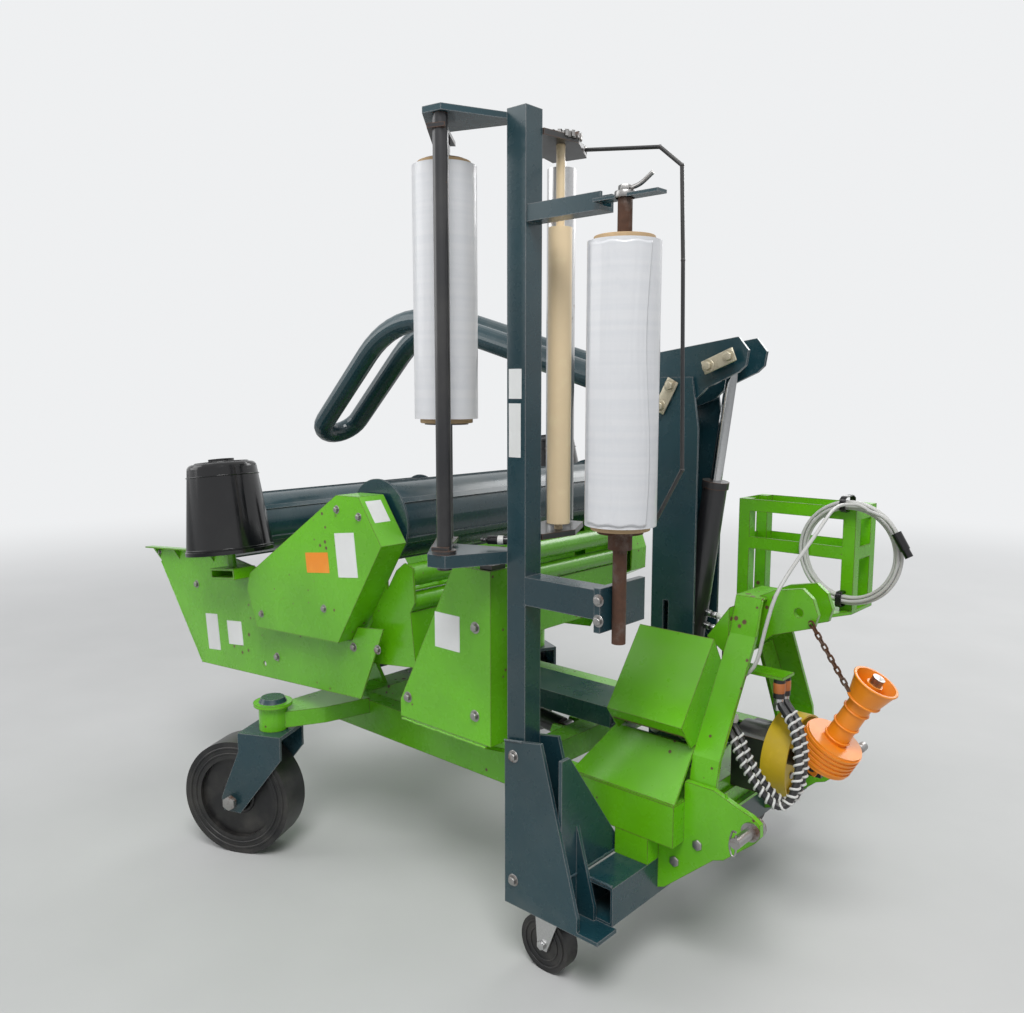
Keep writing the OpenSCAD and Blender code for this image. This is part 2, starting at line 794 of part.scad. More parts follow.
module side_panels() {
    color(GREEN) on_table() {
        difference() {
            xz_plate([[lip_x, lip_z], [-633, -88], [-442, -396], [308, panel_low], [420, -250],
                [324, -250], [295, -286], [-61, -266], [-93, -158], [-71, -114], [-300, -60]],
                -panel_y, -panel_y + 4);
            bar_y(-104, -374, 7, -panel_y - 1, -panel_y + 5);
        }
        xz_plate([[lip_x, lip_z], [-633, -88], [-442, -396], [308, panel_low], [420, -250],
            [412, -240], [292, -240], [280, -100], [-300, -60]], panel_y - 4, panel_y);
        both_sides() rear_lip();
        cone_bracket(-165, -1);
        cone_bracket(165, 1);
    }
}

// folded lip along the panel's rear top edge, its gussets and the rear roller's pillow block
module rear_lip() {
    fall = (lip_z + 60) / (-300 - lip_x);
    xz_plate([[lip_x, lip_z], [-300, -60], [-300, -64], [lip_x, lip_z - 4]], -panel_y - 20, -panel_y + 1);
    for (x = [-640, -520, -320]) {
        edge = lip_z - fall * (x - lip_x) - 2;
        yz_plate([[-panel_y + 1, edge], [-panel_y - 18, edge], [-panel_y + 1, edge - 34]], x - 3, x + 3);
    }
    difference() {
        union() {
            xz_plate([[-roller_x - 46, -55], [-roller_x + 46, -59], [-roller_x + 46, -46],
                [-roller_x + 30, -20], [-roller_x - 30, -20], [-roller_x - 46, -42]],
                -panel_y - 18, -panel_y - 2);
            bar_y(-roller_x, 0, 34, -panel_y - 20, -panel_y);
        }
        bar_y(-roller_x, 0, 17 + gap, -panel_y - 21, -panel_y + 1);
    }
}

module chain_covers() {
    color(GREEN) on_table() {
        difference() {
            xz_plate(RIGHT_COVER, -cover_out, -cover_in);
            xz_plate(shrink(RIGHT_COVER, 4), -cover_out + 4, -cover_in + 1);
        }
        difference() {
            xz_plate(LEFT_COVER, cover_in, cover_out);
            xz_plate(shrink(LEFT_COVER, 4), cover_in - 1, cover_out - 4);
        }
    }
}

// moves each corner of an outline towards its middle by about d
function shrink(points, d) = let (
    n = len(points),
    mx = [for (p = points) p[0]] * [for (p = points) 1] / n,
    mz = [for (p = points) p[1]] * [for (p = points) 1] / n)
    [for (p = points) let (r = norm([p[0] - mx, p[1] - mz]))
        [mx + (p[0] - mx) * (1 - 1.35 * d / r), mz + (p[1] - mz) * (1 - 1.35 * d / r)]];

module front_roller() {
    color(TEAL) on_table() table_roller(roller_x, panel_y - 4);
}

module rear_roller() {
    color(TEAL) on_table() table_roller(-roller_x, panel_y + 26);
}

// one bale roller with its end discs, welded strips and shaft out to shaft_y
module table_roller(x, shaft_y) {
    difference() {
        bar_y(x, 0, roller_d / 2 - 4, -roller_y, roller_y);
        bar_y(x, 0, roller_d / 2 - 9, -roller_y + 6, roller_y - 6);
    }
    for (a = [30 : 60 : 330]) translate([x, 0, 0]) rotate([0, a, 0])
        block(roller_d / 2 - 6, roller_d / 2, -roller_y + 2, roller_y - 2, -7, 7);
    both_sides() bar_y(x, 0, roller_d / 2 + 8, -roller_y - 5, -roller_y);
    both_sides() bar_y(x, 0, 17, -shaft_y, -roller_y - 4);
}

// guide cone turning on its stub: a turned shell with a bead at its rim and a cap over the hub
module cone(x, y) {
    translate([x, y, 0]) rotate_extrude() polygon(concat(
        [[cone_r - 5, cone_low], [cone_r + 3, cone_low], [cone_r + 3, cone_low + 10],
            [cone_r, cone_low + 12]],
        [for (a = [0 : 22.5 : 90]) [cone_top_r - 14 + 14 * cos(a), cone_high - 14 + 14 * sin(a)]],
        [[34, cone_high], [34, cone_high + 11], [0, cone_high + 11], [0, cone_high + 1],
            [cone_pin_r + gap, cone_high + 1], [cone_pin_r + gap, cone_high - 46],
            [cone_pin_r + 8, cone_high - 46], [cone_pin_r + 8, cone_high - 6],
            [cone_top_r - 16, cone_high - 6], [cone_top_r - 6, cone_high - 16]]));
}

// bracket on a side panel with the stub that a guide cone turns on; s is the side
module cone_bracket(x, s) {
    y0 = min(s * (panel_y - 1), s * 530);
    y1 = max(s * (panel_y - 1), s * 530);
    difference() {
        block(x - 60, x + 60, y0, y1, -132, -102);
        block(x - 54, x + 54, y0 - 1, y1 + 1, -126, -108);
    }
    bar_z(x, s * cone_y, cone_pin_r, -104, cone_high);
}

module right_cone() {
    color(BLACK) on_table() cone(-165, -cone_y);
}

module left_cone() {
    color(BLACK) on_table() cone(165, cone_y);
}

module loop_arm() {
    color(TEAL) placed() {
        bent_tube(concat(arm_leg(-1), arm_turn(), reversed(arm_leg(1))), arm_tube_d / 2, 24);
        both_sides() head_plate();
    }
}

// on the arm's slope a: the direction along it to the rear, and the normal above it
function along(a) = [-cos(a), 0, sin(a)];
function above(a) = [sin(a), 0, cos(a)];

// one leg's rings from the head to the turn, each as centre, side vector and upper vector; s is the side
function arm_leg(s) = let (bend = [arm_bend_x, s * arm_gap / 2, arm_bend_z], side = [0, s, 0]) [
    [bend + arm_bend_r * above(arm_rise) - arm_run * along(arm_rise), side, above(arm_rise)],
    for (i = [0 : 10]) let (a = arm_rise - i / 10 * (arm_rise + arm_drop))
        [bend + arm_bend_r * above(a), side, above(a)]];

// rings of the half turn that joins both legs
function arm_turn() = let (
    bend = [arm_bend_x, 0, arm_bend_z],
    middle = bend + arm_bend_r * above(-arm_drop) + arm_tail * along(-arm_drop))
    [for (i = [0 : 12]) let (side = sin(i * 15) * along(-arm_drop) - cos(i * 15) * [0, 1, 0])
        [middle + arm_gap / 2 * side, side, above(-arm_drop)]];

function reversed(rings) = [for (i = [len(rings) - 1 : -1 : 0]) rings[i]];

// a tube through rings, each given as centre, side vector and upper vector
module bent_tube(rings, r, sides) {
    points = [for (ring = rings) for (j = [0 : sides - 1])
        ring[0] + r * cos(j * 360 / sides) * ring[1] + r * sin(j * 360 / sides) * ring[2]];
    last = len(rings) - 1;
    faces = concat(
        [[for (j = [0 : sides - 1]) j]],
        [for (i = [0 : last - 1]) for (j = [0 : sides - 1]) let (k = (j + 1) % sides)
            [i * sides + j, (i + 1) * sides + j, (i + 1) * sides + k, i * sides + k]],
        [[for (j = [sides - 1 : -1 : 0]) last * sides + j]]);
    polyhedron(points, faces, convexity = 6);
}

// plate from the leg to the pivot, with its half of the pin at the lift cylinder's rod eye
module head_plate() {
    difference() {
        xz_plate([[-520, 1245], [-430, 1180], [-362, 1168], [-310, 1180], [-270, 1195], [-243, 1221],
            [-168, 1254], [-152, 1268], [-147, 1299], [-171, 1328], [-362, 1301], [-520, 1285]], -46, -38);
        bar_y(head_x, head_z, 14 + gap, -47, -37);
    }
    bar_y(rod_x, rod_z, 12, -56, -18);
}

module lift_barrel() {
    color(BLACK) along_lift() barrel(lift_tube, 27, 13, 22, 12);
}

module lift_rod() {
    color(STEEL) along_lift() piston(205, lift_len, 13, 22, 12);
}

module pto_shaft() {
    color(ORANGE) placed() translate([cross_x, 0, cross_z]) rotate([0, bell_lean, 0]) {
        both_sides() difference() {
            block(-14, 14, -26, -14.5, -14, 40);
            bar_y(0, 0, 8 + gap, -30, 0);
        }
        block(-14, 14, -26, 26, 36, 44);
        bar_z(0, 0, 25, 40, bell_len - 30);
        difference() {
            bar_z(0, 0, 60, 18, 76);
            bar_z(0, 0, 55, 17, 71);
        }
        for (z = [26 : 10 : 66]) difference() {
            bar_z(0, 0, 62.5, z, z + 5);
            bar_z(0, 0, 57, z - 1, z + 6);
        }
        difference() {
            translate([0, 0, bell_len - 48]) cylinder(h = 48, r1 = 34, r2 = bell_r);
            translate([0, 0, bell_len - 40]) cylinder(h = 41, r1 = 30, r2 = bell_r - 4);
        }
        bar_z(0, 0, 17, bell_len - 44, bell_len - 6);
    }
}

// chain from the headstock's ear to the folded shaft, every other link turned
module hold_chain() {
    color(RUST) placed() translate(CHAIN_PEG) rotate([0, -chain_lean, 0])
        for (i = [0 : chain_links - 1])
            translate([0, 0, 2.2 + gap - link_long / 2 - i * (link_long - gap)])
                rotate([0, 0, i % 2 * 90]) chain_link();
}

// one flat link with its long side along Z and its hole along Y
module chain_link() {
    rotate([90, 0, 0]) linear_extrude(chain_wire, center = true) difference() {
        polygon(stadium(link_long / 2 + chain_wire, link_wide / 2 + chain_wire));
        polygon(stadium(link_long / 2, link_wide / 2));
    }
}

// outline with round ends, of half length h and end radius r
function stadium(h, r) = [for (s = [0, 180]) for (a = [0 : 30 : 180])
    [r * cos(a + s), r * sin(a + s) + (s == 0 ? h - r : r - h)]];

module hoses() {
    color(BLACK) placed() for (i = [0, 1]) translate([0, i * hose_step, 0]) {
        cord(HOSE, 42, hose_d / 2, 10);
        translate(HOSE[len(HOSE) - 1] - [0, 0, 4]) cylinder(h = coupler_top - HOSE[len(HOSE) - 1][2] + 4, r = 12);
    }
}

module control_cable() {
    color(GREY) placed() {
        cord(CABLE, 44, cable_d / 2, 8);
        cord(CABLE_TAIL, 14, cable_d / 2, 8);
    }
}

module cable_hank() {
    color(GREY) placed() translate(HANK) rotate([90, 0, 0]) rotate_extrude()
        translate([hank_turn, 0]) rotate(22.5) circle(r = hank_r, $fn = 8);
}

// plug at the end of the cable's tail
module cable_plug() {
    last = CABLE_TAIL[len(CABLE_TAIL) - 1];
    way = unit(last - CABLE_TAIL[len(CABLE_TAIL) - 2]);
    color(BLACK) placed() {
        rod_between(last, last + 42 * way, 11);
        rod_between(last + 41 * way, last + 60 * way, 9);
    }
}

function unit(v) = v / norm(v);

// a cord swept round its route, with n steps along it
module cord(points, n, r, sides) {
    bent_tube(rings(route(points, n)), r, sides);
}

// points along a smooth curve through the given ones
function route(points, n) = [for (i = [0 : n]) let (
    t = i / n * (len(points) - 1),
    k = min(floor(t), len(points) - 2))
    curve(points[max(k - 1, 0)], points[k], points[k + 1], points[min(k + 2, len(points) - 1)], t - k)];

// point at share u of the way from b to c, with a before them and d after
function curve(a, b, c, d, u) = (2 * b + (c - a) * u + (2 * a - 5 * b + 4 * c - d) * u * u
    + (3 * b - a - 3 * c + d) * u * u * u) / 2;

// rings square to a line of points, each as centre, side vector and upper vector
function rings(line) = [for (i = [0 : len(line) - 1]) let (
    way = unit(line[min(i + 1, len(line) - 1)] - line[max(i - 1, 0)]),
    side = unit(cross(way, [1, -1, 0])))
    [line[i], side, cross(way, side)]];

main_frame();
caster_arms();
hitch_plates();
hitch_pins();
headstock();
valve_hood();
front_lid();
cutter_tower();
film_holder();
gearbox();
pto_guard();
lift_column();
mast_base();
left_base();
film_mast();
spare_spindle();
spare_roll();
guard_rod();
rack();
stretcher_frame();
stretch_roller();
ridge_roller();
film_swing();
film_roll();
right_fork();
right_wheel();
left_fork();
left_wheel();
right_small_fork();
right_small_wheel();
left_small_fork();
left_small_wheel();
tilt_frame();
tilt_barrel();
tilt_rod();
table_frame();
side_panels();
chain_covers();
front_roller();
rear_roller();
right_cone();
left_cone();
loop_arm();
lift_barrel();
lift_rod();
pto_shaft();
hold_chain();
hoses();
control_cable();
cable_hank();
cable_plug();
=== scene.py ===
"""Looks of a turntable bale wrapper: paint, film, rubber, blank labels, hoses and small fittings.

Metres, Z up. +X points to the tractor and +Y to the machine's left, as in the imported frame.
"""
import math
import random

import bmesh
import bpy
from mathutils import Matrix, Vector


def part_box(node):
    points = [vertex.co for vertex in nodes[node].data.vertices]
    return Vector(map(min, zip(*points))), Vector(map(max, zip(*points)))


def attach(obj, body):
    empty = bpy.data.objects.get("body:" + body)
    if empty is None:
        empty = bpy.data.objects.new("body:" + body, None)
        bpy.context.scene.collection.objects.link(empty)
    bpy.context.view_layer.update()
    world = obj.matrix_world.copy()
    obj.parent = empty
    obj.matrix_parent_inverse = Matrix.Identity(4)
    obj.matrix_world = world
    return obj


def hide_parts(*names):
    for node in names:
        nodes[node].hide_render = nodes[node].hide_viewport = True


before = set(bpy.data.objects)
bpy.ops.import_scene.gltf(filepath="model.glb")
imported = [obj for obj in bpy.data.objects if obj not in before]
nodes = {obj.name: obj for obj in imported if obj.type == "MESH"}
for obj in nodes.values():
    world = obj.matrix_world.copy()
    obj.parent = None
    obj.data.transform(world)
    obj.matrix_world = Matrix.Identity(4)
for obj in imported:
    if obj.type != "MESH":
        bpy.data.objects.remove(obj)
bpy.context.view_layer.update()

# the machine's own X = 0 is at the lower hitch pins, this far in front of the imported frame's origin
HITCH_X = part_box("hitch_pins")[0][0] / 2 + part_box("hitch_pins")[1][0] / 2
# origin of the tilting table in metres, and its angle at rest
TABLE_AT = Vector((HITCH_X - 1.290, 0, 0.855))
TABLE_TILT = math.radians(7)

# camera of the photograph, found from its vanishing points
IMAGE_W = 1024
FOCAL_PX = 905
CAMERA_AT = Vector((HITCH_X + 0.767, -1.806, 1.215))
CAMERA_AZIMUTH = math.radians(41.9)
CAMERA_PITCH = math.radians(7.3)

# directions, and each side's sign along Y
RIGHT = (0, -1, 0)
LEFT = (0, 1, 0)
FRONT = (1, 0, 0)
UP = (0, 0, 1)
SIDES = {"right": -1, "left": 1}


def at(x, y, z):
    """A point given in the machine's own millimetres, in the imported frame's metres."""
    return Vector((HITCH_X + x / 1000, y / 1000, z / 1000))


def on_table(x, y, z):
    """A point given in the tilted table's millimetres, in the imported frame's metres."""
    c, s = math.cos(TABLE_TILT), math.sin(TABLE_TILT)
    return TABLE_AT + Vector((x * c - z * s, y, x * s + z * c)) / 1000


# how the small pieces of each body are placed
PLACES = {"chassis": at, "turntable": on_table}
TABLE_UP = (on_table(0, 0, 1) - on_table(0, 0, 0)).normalized()


def linked(name, data):
    """A new object with this data, in the scene."""
    obj = bpy.data.objects.new(name, data)
    bpy.context.scene.collection.objects.link(obj)
    return obj


def make_camera():
    data = bpy.data.cameras.new("camera")
    data.angle = 2 * math.atan(IMAGE_W / 2 / FOCAL_PX)
    camera = linked("camera", data)
    camera.location = CAMERA_AT
    camera.rotation_euler = (math.pi / 2 - CAMERA_PITCH, 0, CAMERA_AZIMUTH)
    bpy.context.scene.camera = camera
    bpy.context.scene.view_settings.view_transform = "Standard"


# Shader helpers

# numbered sockets of a colour mix
MIX_FACTOR = 0
MIX_A = 6
MIX_B = 7
MIX_RESULT = 2
# noises by scale, detail and, where it isn't the plain one, roughness
SPECK_CROWD = (7.0, 2.0)
ORANGE_PEEL = (420.0, 2.0)
SOFT_WAVE = (9.0, 1.0)
TONE = (2.2, 5.0)
SMUDGE = (24.0, 4.0)
UNDERCOAT = (130.0, 3.0)
BLOTCH = (22.0, 8.0, 0.7)
STEEL_GRAIN = (260.0, 3.0)
RUST_GRAIN = (90.0, 4.0)
SCUFFS = (16.0, 7.0, 0.7)
FILM_PULL = (14.0, 5.0, 0.6)
FILM_CRINKLE = (70.0, 3.0, 0.5)
FLOOR_CLOUD = (1.5, 8.0)


def new_group(name, inputs, outputs):
    """An empty node group with named float inputs and outputs, and the sockets at its two ends."""
    group = bpy.data.node_groups.new(name, "ShaderNodeTree")
    for label, value in inputs:
        socket = group.interface.new_socket(name=label, in_out="INPUT", socket_type="NodeSocketFloat")
        socket.default_value = value
    for label in outputs:
        group.interface.new_socket(name=label, in_out="OUTPUT", socket_type="NodeSocketFloat")
    return group, group.nodes.new("NodeGroupInput").outputs, group.nodes.new("NodeGroupOutput").inputs


def add(tree, kind, links=(), **settings):
    """A node with settings, and its numbered or named inputs set or linked."""
    node = tree.nodes.new(kind)
    for key, value in settings.items():
        setattr(node, key, value)
    for key, value in dict(links).items():
        if isinstance(value, bpy.types.NodeSocket):
            tree.links.new(value, node.inputs[key])
        else:
            node.inputs[key].default_value = value
    return node


def object_place(tree):
    return add(tree, "ShaderNodeTexCoord").outputs["Object"]


def height_of(tree, vector):
    return add(tree, "ShaderNodeSeparateXYZ", {"Vector": vector}).outputs["Z"]


def ramp(tree, value, low, high):
    """A smooth step from 0 at low to 1 at high."""
    return add(tree, "ShaderNodeMapRange", {"Value": value, "From Min": low, "From Max": high},
               interpolation_type="SMOOTHSTEP").outputs["Result"]


def calc(tree, operation, a, b):
    return add(tree, "ShaderNodeMath", {0: a, 1: b}, operation=operation).outputs[0]


def scaled(tree, value, share):
    return calc(tree, "MULTIPLY", value, share)


def mixed(tree, factor, a, b):
    """Colour a where the factor is 0, turning to colour b at 1."""
    return add(tree, "ShaderNodeMix", {MIX_FACTOR: factor, MIX_A: a, MIX_B: b},
               data_type="RGBA").outputs[MIX_RESULT]


def noise(tree, vector, scale, detail=4.0, rough=0.55):
    return add(tree, "ShaderNodeTexNoise",
               {"Vector": vector, "Scale": scale, "Detail": detail, "Roughness": rough}).outputs["Fac"]


def bumped(tree, shader, height, strength, distance):
    """The shader's normal raised by a height, over a distance in metres."""
    bump = add(tree, "ShaderNodeBump", {"Height": height, "Strength": strength, "Distance": distance})
    tree.links.new(bump.outputs["Normal"], shader.inputs["Normal"])


def make_edge_group():
    """Mask of chipped edges: where the rounded normal leaves the true one, broken up by noise."""
    # one less the cosine between the normals, where the wear starts and where it is full
    wear_start, wear_full = 0.01, 0.12
    # how much the amount lifts the noise, and the worn noise at which a chip opens and is bare
    amount_lift = 0.35
    chip_start, chip_full = 0.42, 0.52
    tree, given, result = new_group(
        "edge_wear", [("Width", 0.003), ("Amount", 0.5), ("Scale", 60.0)], ["Mask"])
    softened = add(tree, "ShaderNodeBevel", {"Radius": given["Width"]}, samples=4).outputs["Normal"]
    true_normal = add(tree, "ShaderNodeNewGeometry").outputs["True Normal"]
    cosine = add(tree, "ShaderNodeVectorMath", {0: softened, 1: true_normal},
                 operation="DOT_PRODUCT").outputs["Value"]
    edge = ramp(tree, calc(tree, "SUBTRACT", 1.0, cosine), wear_start, wear_full)
    broken = noise(tree, object_place(tree), given["Scale"], detail=5.0, rough=0.65)
    lifted = calc(tree, "ADD", broken, scaled(tree, given["Amount"], amount_lift))
    worn = calc(tree, "MULTIPLY", edge, lifted)
    tree.links.new(ramp(tree, worn, chip_start, chip_full), result["Mask"])
    return tree


def make_spot_group():
    """Mask of scattered chips and specks on a flat face."""
    # a slow noise leaves specks only where it is above this, and their rims are soft between these
    crowd_floor = 0.52
    rim_outer, rim_inner = -0.03, 0.02
    tree, given, result = new_group("specks", [("Scale", 40.0), ("Amount", 0.3)], ["Mask"])
    place = object_place(tree)
    cells = add(tree, "ShaderNodeTexVoronoi", {"Vector": place, "Scale": given["Scale"], "Randomness": 1.0})
    crowd = calc(tree, "SUBTRACT", noise(tree, place, *SPECK_CROWD), crowd_floor)
    reach = calc(tree, "MULTIPLY", crowd, given["Amount"])
    inside = calc(tree, "SUBTRACT", reach, cells.outputs["Distance"])
    tree.links.new(ramp(tree, inside, rim_outer, rim_inner), result["Mask"])
    return tree


def make_dust_group():
    """Mask of dust on faces that look up and near the floor, in clouds."""
    # height in metres below which dust gathers, and its share on tops, near the floor and all over
    dusty_height = 0.45
    top_share, low_share, thin_share = 0.7, 0.6, 0.18
    tree, given, result = new_group("dust", [("Amount", 0.4), ("Scale", 5.0)], ["Mask"])
    place = object_place(tree)
    normal = add(tree, "ShaderNodeNewGeometry").outputs["Normal"]
    facing = ramp(tree, height_of(tree, normal), 0.1, 1.0)
    low = ramp(tree, height_of(tree, place), dusty_height, 0.0)
    cloud = ramp(tree, noise(tree, place, given["Scale"], detail=6.0, rough=0.6), 0.40, 0.75)
    gathered = calc(tree, "ADD", scaled(tree, facing, top_share), scaled(tree, low, low_share))
    everywhere = calc(tree, "ADD", gathered, thin_share)
    clouded = calc(tree, "MULTIPLY", everywhere, cloud)
    tree.links.new(calc(tree, "MULTIPLY", clouded, given["Amount"]), result["Mask"])
    return tree


def make_skin_group():
    """Height of sprayed paint: a faint orange peel over long soft waves."""
    wave_gain = 6.0
    tree, given, result = new_group("paint_skin", [("Peel", 0.3), ("Wave", 0.6)], ["Height"])
    place = object_place(tree)
    peel = calc(tree, "MULTIPLY", noise(tree, place, *ORANGE_PEEL), given["Peel"])
    wave = calc(tree, "MULTIPLY", noise(tree, place, *SOFT_WAVE), given["Wave"])
    tree.links.new(calc(tree, "ADD", peel, scaled(tree, wave, wave_gain)), result["Height"])
    return tree


EDGE = make_edge_group()
SPECKS = make_spot_group()
DUST = make_dust_group()
SKIN = make_skin_group()


def placed_group(tree, group, **values):
    """The output sockets of a group that stands in the tree with its own values."""
    node = tree.nodes.new("ShaderNodeGroup")
    node.node_tree = group
    for key, value in values.items():
        node.inputs[key].default_value = value
    return node.outputs


def new_material(name):
    material = bpy.data.materials.new(name)
    material.use_nodes = True
    tree = material.node_tree
    return material, tree, tree.nodes["Principled BSDF"]


def shade(color, share=1.0):
    """An opaque colour, darker or lighter by a share."""
    return [min(1, c * share) for c in color] + [1]


# Finishes

PAINT_DUST = (0.34, 0.32, 0.27, 1)
PLASTIC_DUST = (0.30, 0.28, 0.24, 1)
FILM_WHITE = (0.66, 0.665, 0.68, 1)
FILM_RING = (0.625, 0.635, 0.655, 1)
FILM_SHADE = (0.56, 0.57, 0.60, 1)
SPECK_SCALE = 38.0
FILM_RINGS_PER_M = 60.0
# roughness that is added by dust or bare spots on paint, by smudges, by rust, and by dust on plastic
DUST_DULLS = 0.35
SMUDGE_DULLS = 0.10
RUST_DULLS = 0.45
PLASTIC_DUST_DULLS = 0.3
# chips lie this many times the height of the paint's skin below it
CHIP_DEPTH = 3.0
COAT_ROUGHNESS = 0.12
# bumps by strength and distance in metres
PAINT_BUMP = (0.12, 0.0006)
STEEL_BUMP = (0.25, 0.0005)
FILM_BUMP = (0.22, 0.0016)
MOULDED_BUMP_M = 0.0004


def painted(name, paint, under, gloss, chips=0.5, specks=0.25, dust=0.4, tone=0.12, coat=0.3):
    """Enamel over steel: tone drift, chipped edges, specks, dust and a soft skin."""
    material, tree, shader = new_material(name)
    place = object_place(tree)
    drift = ramp(tree, noise(tree, place, *TONE), 0.3, 0.7)
    color = mixed(tree, drift, shade(paint, 1 - 2 * tone), shade(paint, 1 + tone))
    edge = placed_group(tree, EDGE, Amount=chips)["Mask"]
    spot = placed_group(tree, SPECKS, Amount=specks, Scale=SPECK_SCALE)["Mask"]
    bare = calc(tree, "MAXIMUM", edge, spot)
    bared = mixed(tree, noise(tree, place, *UNDERCOAT), shade(under), shade(under, 0.45))
    dirt = placed_group(tree, DUST, Amount=dust)["Mask"]
    color = mixed(tree, dirt, mixed(tree, bare, color, bared), PAINT_DUST)
    tree.links.new(color, shader.inputs["Base Color"])
    # gloss goes where dust lies, as much where the paint is off, and a little all over
    rough = calc(tree, "ADD", gloss, scaled(tree, dirt, DUST_DULLS))
    rough = calc(tree, "ADD", rough, scaled(tree, bare, DUST_DULLS))
    rough = calc(tree, "ADD", rough, scaled(tree, noise(tree, place, *SMUDGE), SMUDGE_DULLS))
    tree.links.new(rough, shader.inputs["Roughness"])
    skin = placed_group(tree, SKIN)["Height"]
    bumped(tree, shader, calc(tree, "SUBTRACT", skin, scaled(tree, bare, CHIP_DEPTH)), *PAINT_BUMP)
    shader.inputs["Coat Weight"].default_value = coat
    shader.inputs["Coat Roughness"].default_value = COAT_ROUGHNESS
    return material


def bare_metal(name, color, rust, rough, rust_amount, metallic=1.0):
    """Steel with rust in patches and a fine grain."""
    material, tree, shader = new_material(name)
    place = object_place(tree)
    # more rust lowers the noise at which a patch starts and at which it is full
    patch_start, patch_full = 0.62 - rust_amount * 0.4, 0.78 - rust_amount * 0.3
    patch = ramp(tree, noise(tree, place, *BLOTCH), patch_start, patch_full)
    grain = noise(tree, place, *STEEL_GRAIN)
    steel = mixed(tree, grain, shade(color), shade(color, 0.7))
    brown = mixed(tree, noise(tree, place, *RUST_GRAIN), shade(rust), shade(rust, 0.4))
    tree.links.new(mixed(tree, patch, steel, brown), shader.inputs["Base Color"])
    shine = scaled(tree, calc(tree, "SUBTRACT", 1.0, patch), metallic)
    tree.links.new(shine, shader.inputs["Metallic"])
    tree.links.new(calc(tree, "ADD", rough, scaled(tree, patch, RUST_DULLS)), shader.inputs["Roughness"])
    bumped(tree, shader, calc(tree, "ADD", grain, patch), *STEEL_BUMP)
    return material


def moulded(name, color, rough, scuff=0.3, grain=600.0, dust=0.35, strength=0.15):
    """Moulded plastic or rubber: fine grain, paler scuffs and dust."""
    # a scuff multiplies the colour and adds to it
    scuff_gain, scuff_lift = 1.6, 0.03
    material, tree, shader = new_material(name)
    place = object_place(tree)
    worn = ramp(tree, noise(tree, place, *SCUFFS), 0.50, 0.80)
    paler = [min(1, c * scuff_gain + scuff_lift) for c in color] + [1]
    scuffed = mixed(tree, scaled(tree, worn, scuff), shade(color), paler)
    dirt = placed_group(tree, DUST, Amount=dust, Scale=9.0)["Mask"]
    tree.links.new(mixed(tree, dirt, scuffed, PLASTIC_DUST), shader.inputs["Base Color"])
    dulled = calc(tree, "ADD", rough, scaled(tree, dirt, PLASTIC_DUST_DULLS))
    tree.links.new(dulled, shader.inputs["Roughness"])
    bumped(tree, shader, noise(tree, place, grain, detail=3.0), strength, MOULDED_BUMP_M)
    return material


def wound_film(name):
    """White stretch film: the wound edges ring the roll, with a soft pull and a faint blue shade."""
    # the film's roughness, what its pull adds to it, and the rings' depth beside that of the folds
    gloss, pull_dulls, ring_depth = 0.28, 0.12, 0.4
    material, tree, shader = new_material(name)
    place = object_place(tree)
    ring_place = scaled(tree, height_of(tree, place), FILM_RINGS_PER_M)
    rings = add(tree, "ShaderNodeTexNoise", {"W": ring_place, "Detail": 6.0, "Scale": 1.0},
                noise_dimensions="1D").outputs["Fac"]
    pull = noise(tree, place, *FILM_PULL)
    crinkle = noise(tree, place, *FILM_CRINKLE)
    color = mixed(tree, ramp(tree, rings, 0.30, 0.70), FILM_RING, FILM_WHITE)
    color = mixed(tree, ramp(tree, pull, 0.55, 0.85), color, FILM_SHADE)
    tree.links.new(color, shader.inputs["Base Color"])
    tree.links.new(calc(tree, "ADD", gloss, scaled(tree, pull, pull_dulls)), shader.inputs["Roughness"])
    folds = calc(tree, "ADD", pull, crinkle)
    bumped(tree, shader, calc(tree, "ADD", scaled(tree, rings, ring_depth), folds), *FILM_BUMP)
    shader.inputs["Subsurface Weight"].default_value = 0.08
    shader.inputs["Subsurface Radius"].default_value = (0.01, 0.01, 0.01)
    shader.inputs["Coat Weight"].default_value = 0.25
    return material


LIME = (0.125, 0.450, 0.003)
TEAL = (0.009, 0.040, 0.052)
RUST = (0.13, 0.055, 0.025)
PRIMER = (0.24, 0.25, 0.26)
PAINT_BLACK = (0.014, 0.014, 0.016)

lime_enamel = painted("lime_enamel", LIME, RUST, 0.22, chips=0.62, specks=1.25, dust=0.16, coat=0.15)
teal_enamel = painted("teal_enamel", TEAL, PRIMER, 0.22, chips=0.85, specks=0.3, dust=0.20, coat=0.2)
black_enamel = painted("black_enamel", PAINT_BLACK, RUST, 0.30, chips=0.9, specks=0.5, dust=0.35)

forged_steel = bare_metal("forged_steel", (0.42, 0.41, 0.40), RUST, 0.34, 0.35)
zinc_steel = bare_metal("zinc_steel", (0.62, 0.62, 0.62), (0.3, 0.2, 0.12), 0.30, 0.1)
rusty_steel = bare_metal("rusty_steel", (0.20, 0.16, 0.14), (0.10, 0.045, 0.025), 0.42, 0.85)
chain_steel = bare_metal("chain_steel", (0.22, 0.17, 0.14), (0.12, 0.05, 0.02), 0.45, 0.8)
keeper_zinc = bare_metal("keeper_zinc", (0.60, 0.55, 0.42), (0.22, 0.13, 0.06), 0.42, 0.25, metallic=0.7)
piston_chrome = bare_metal("piston_chrome", (0.80, 0.81, 0.82), (0.3, 0.25, 0.2), 0.10, -0.2)

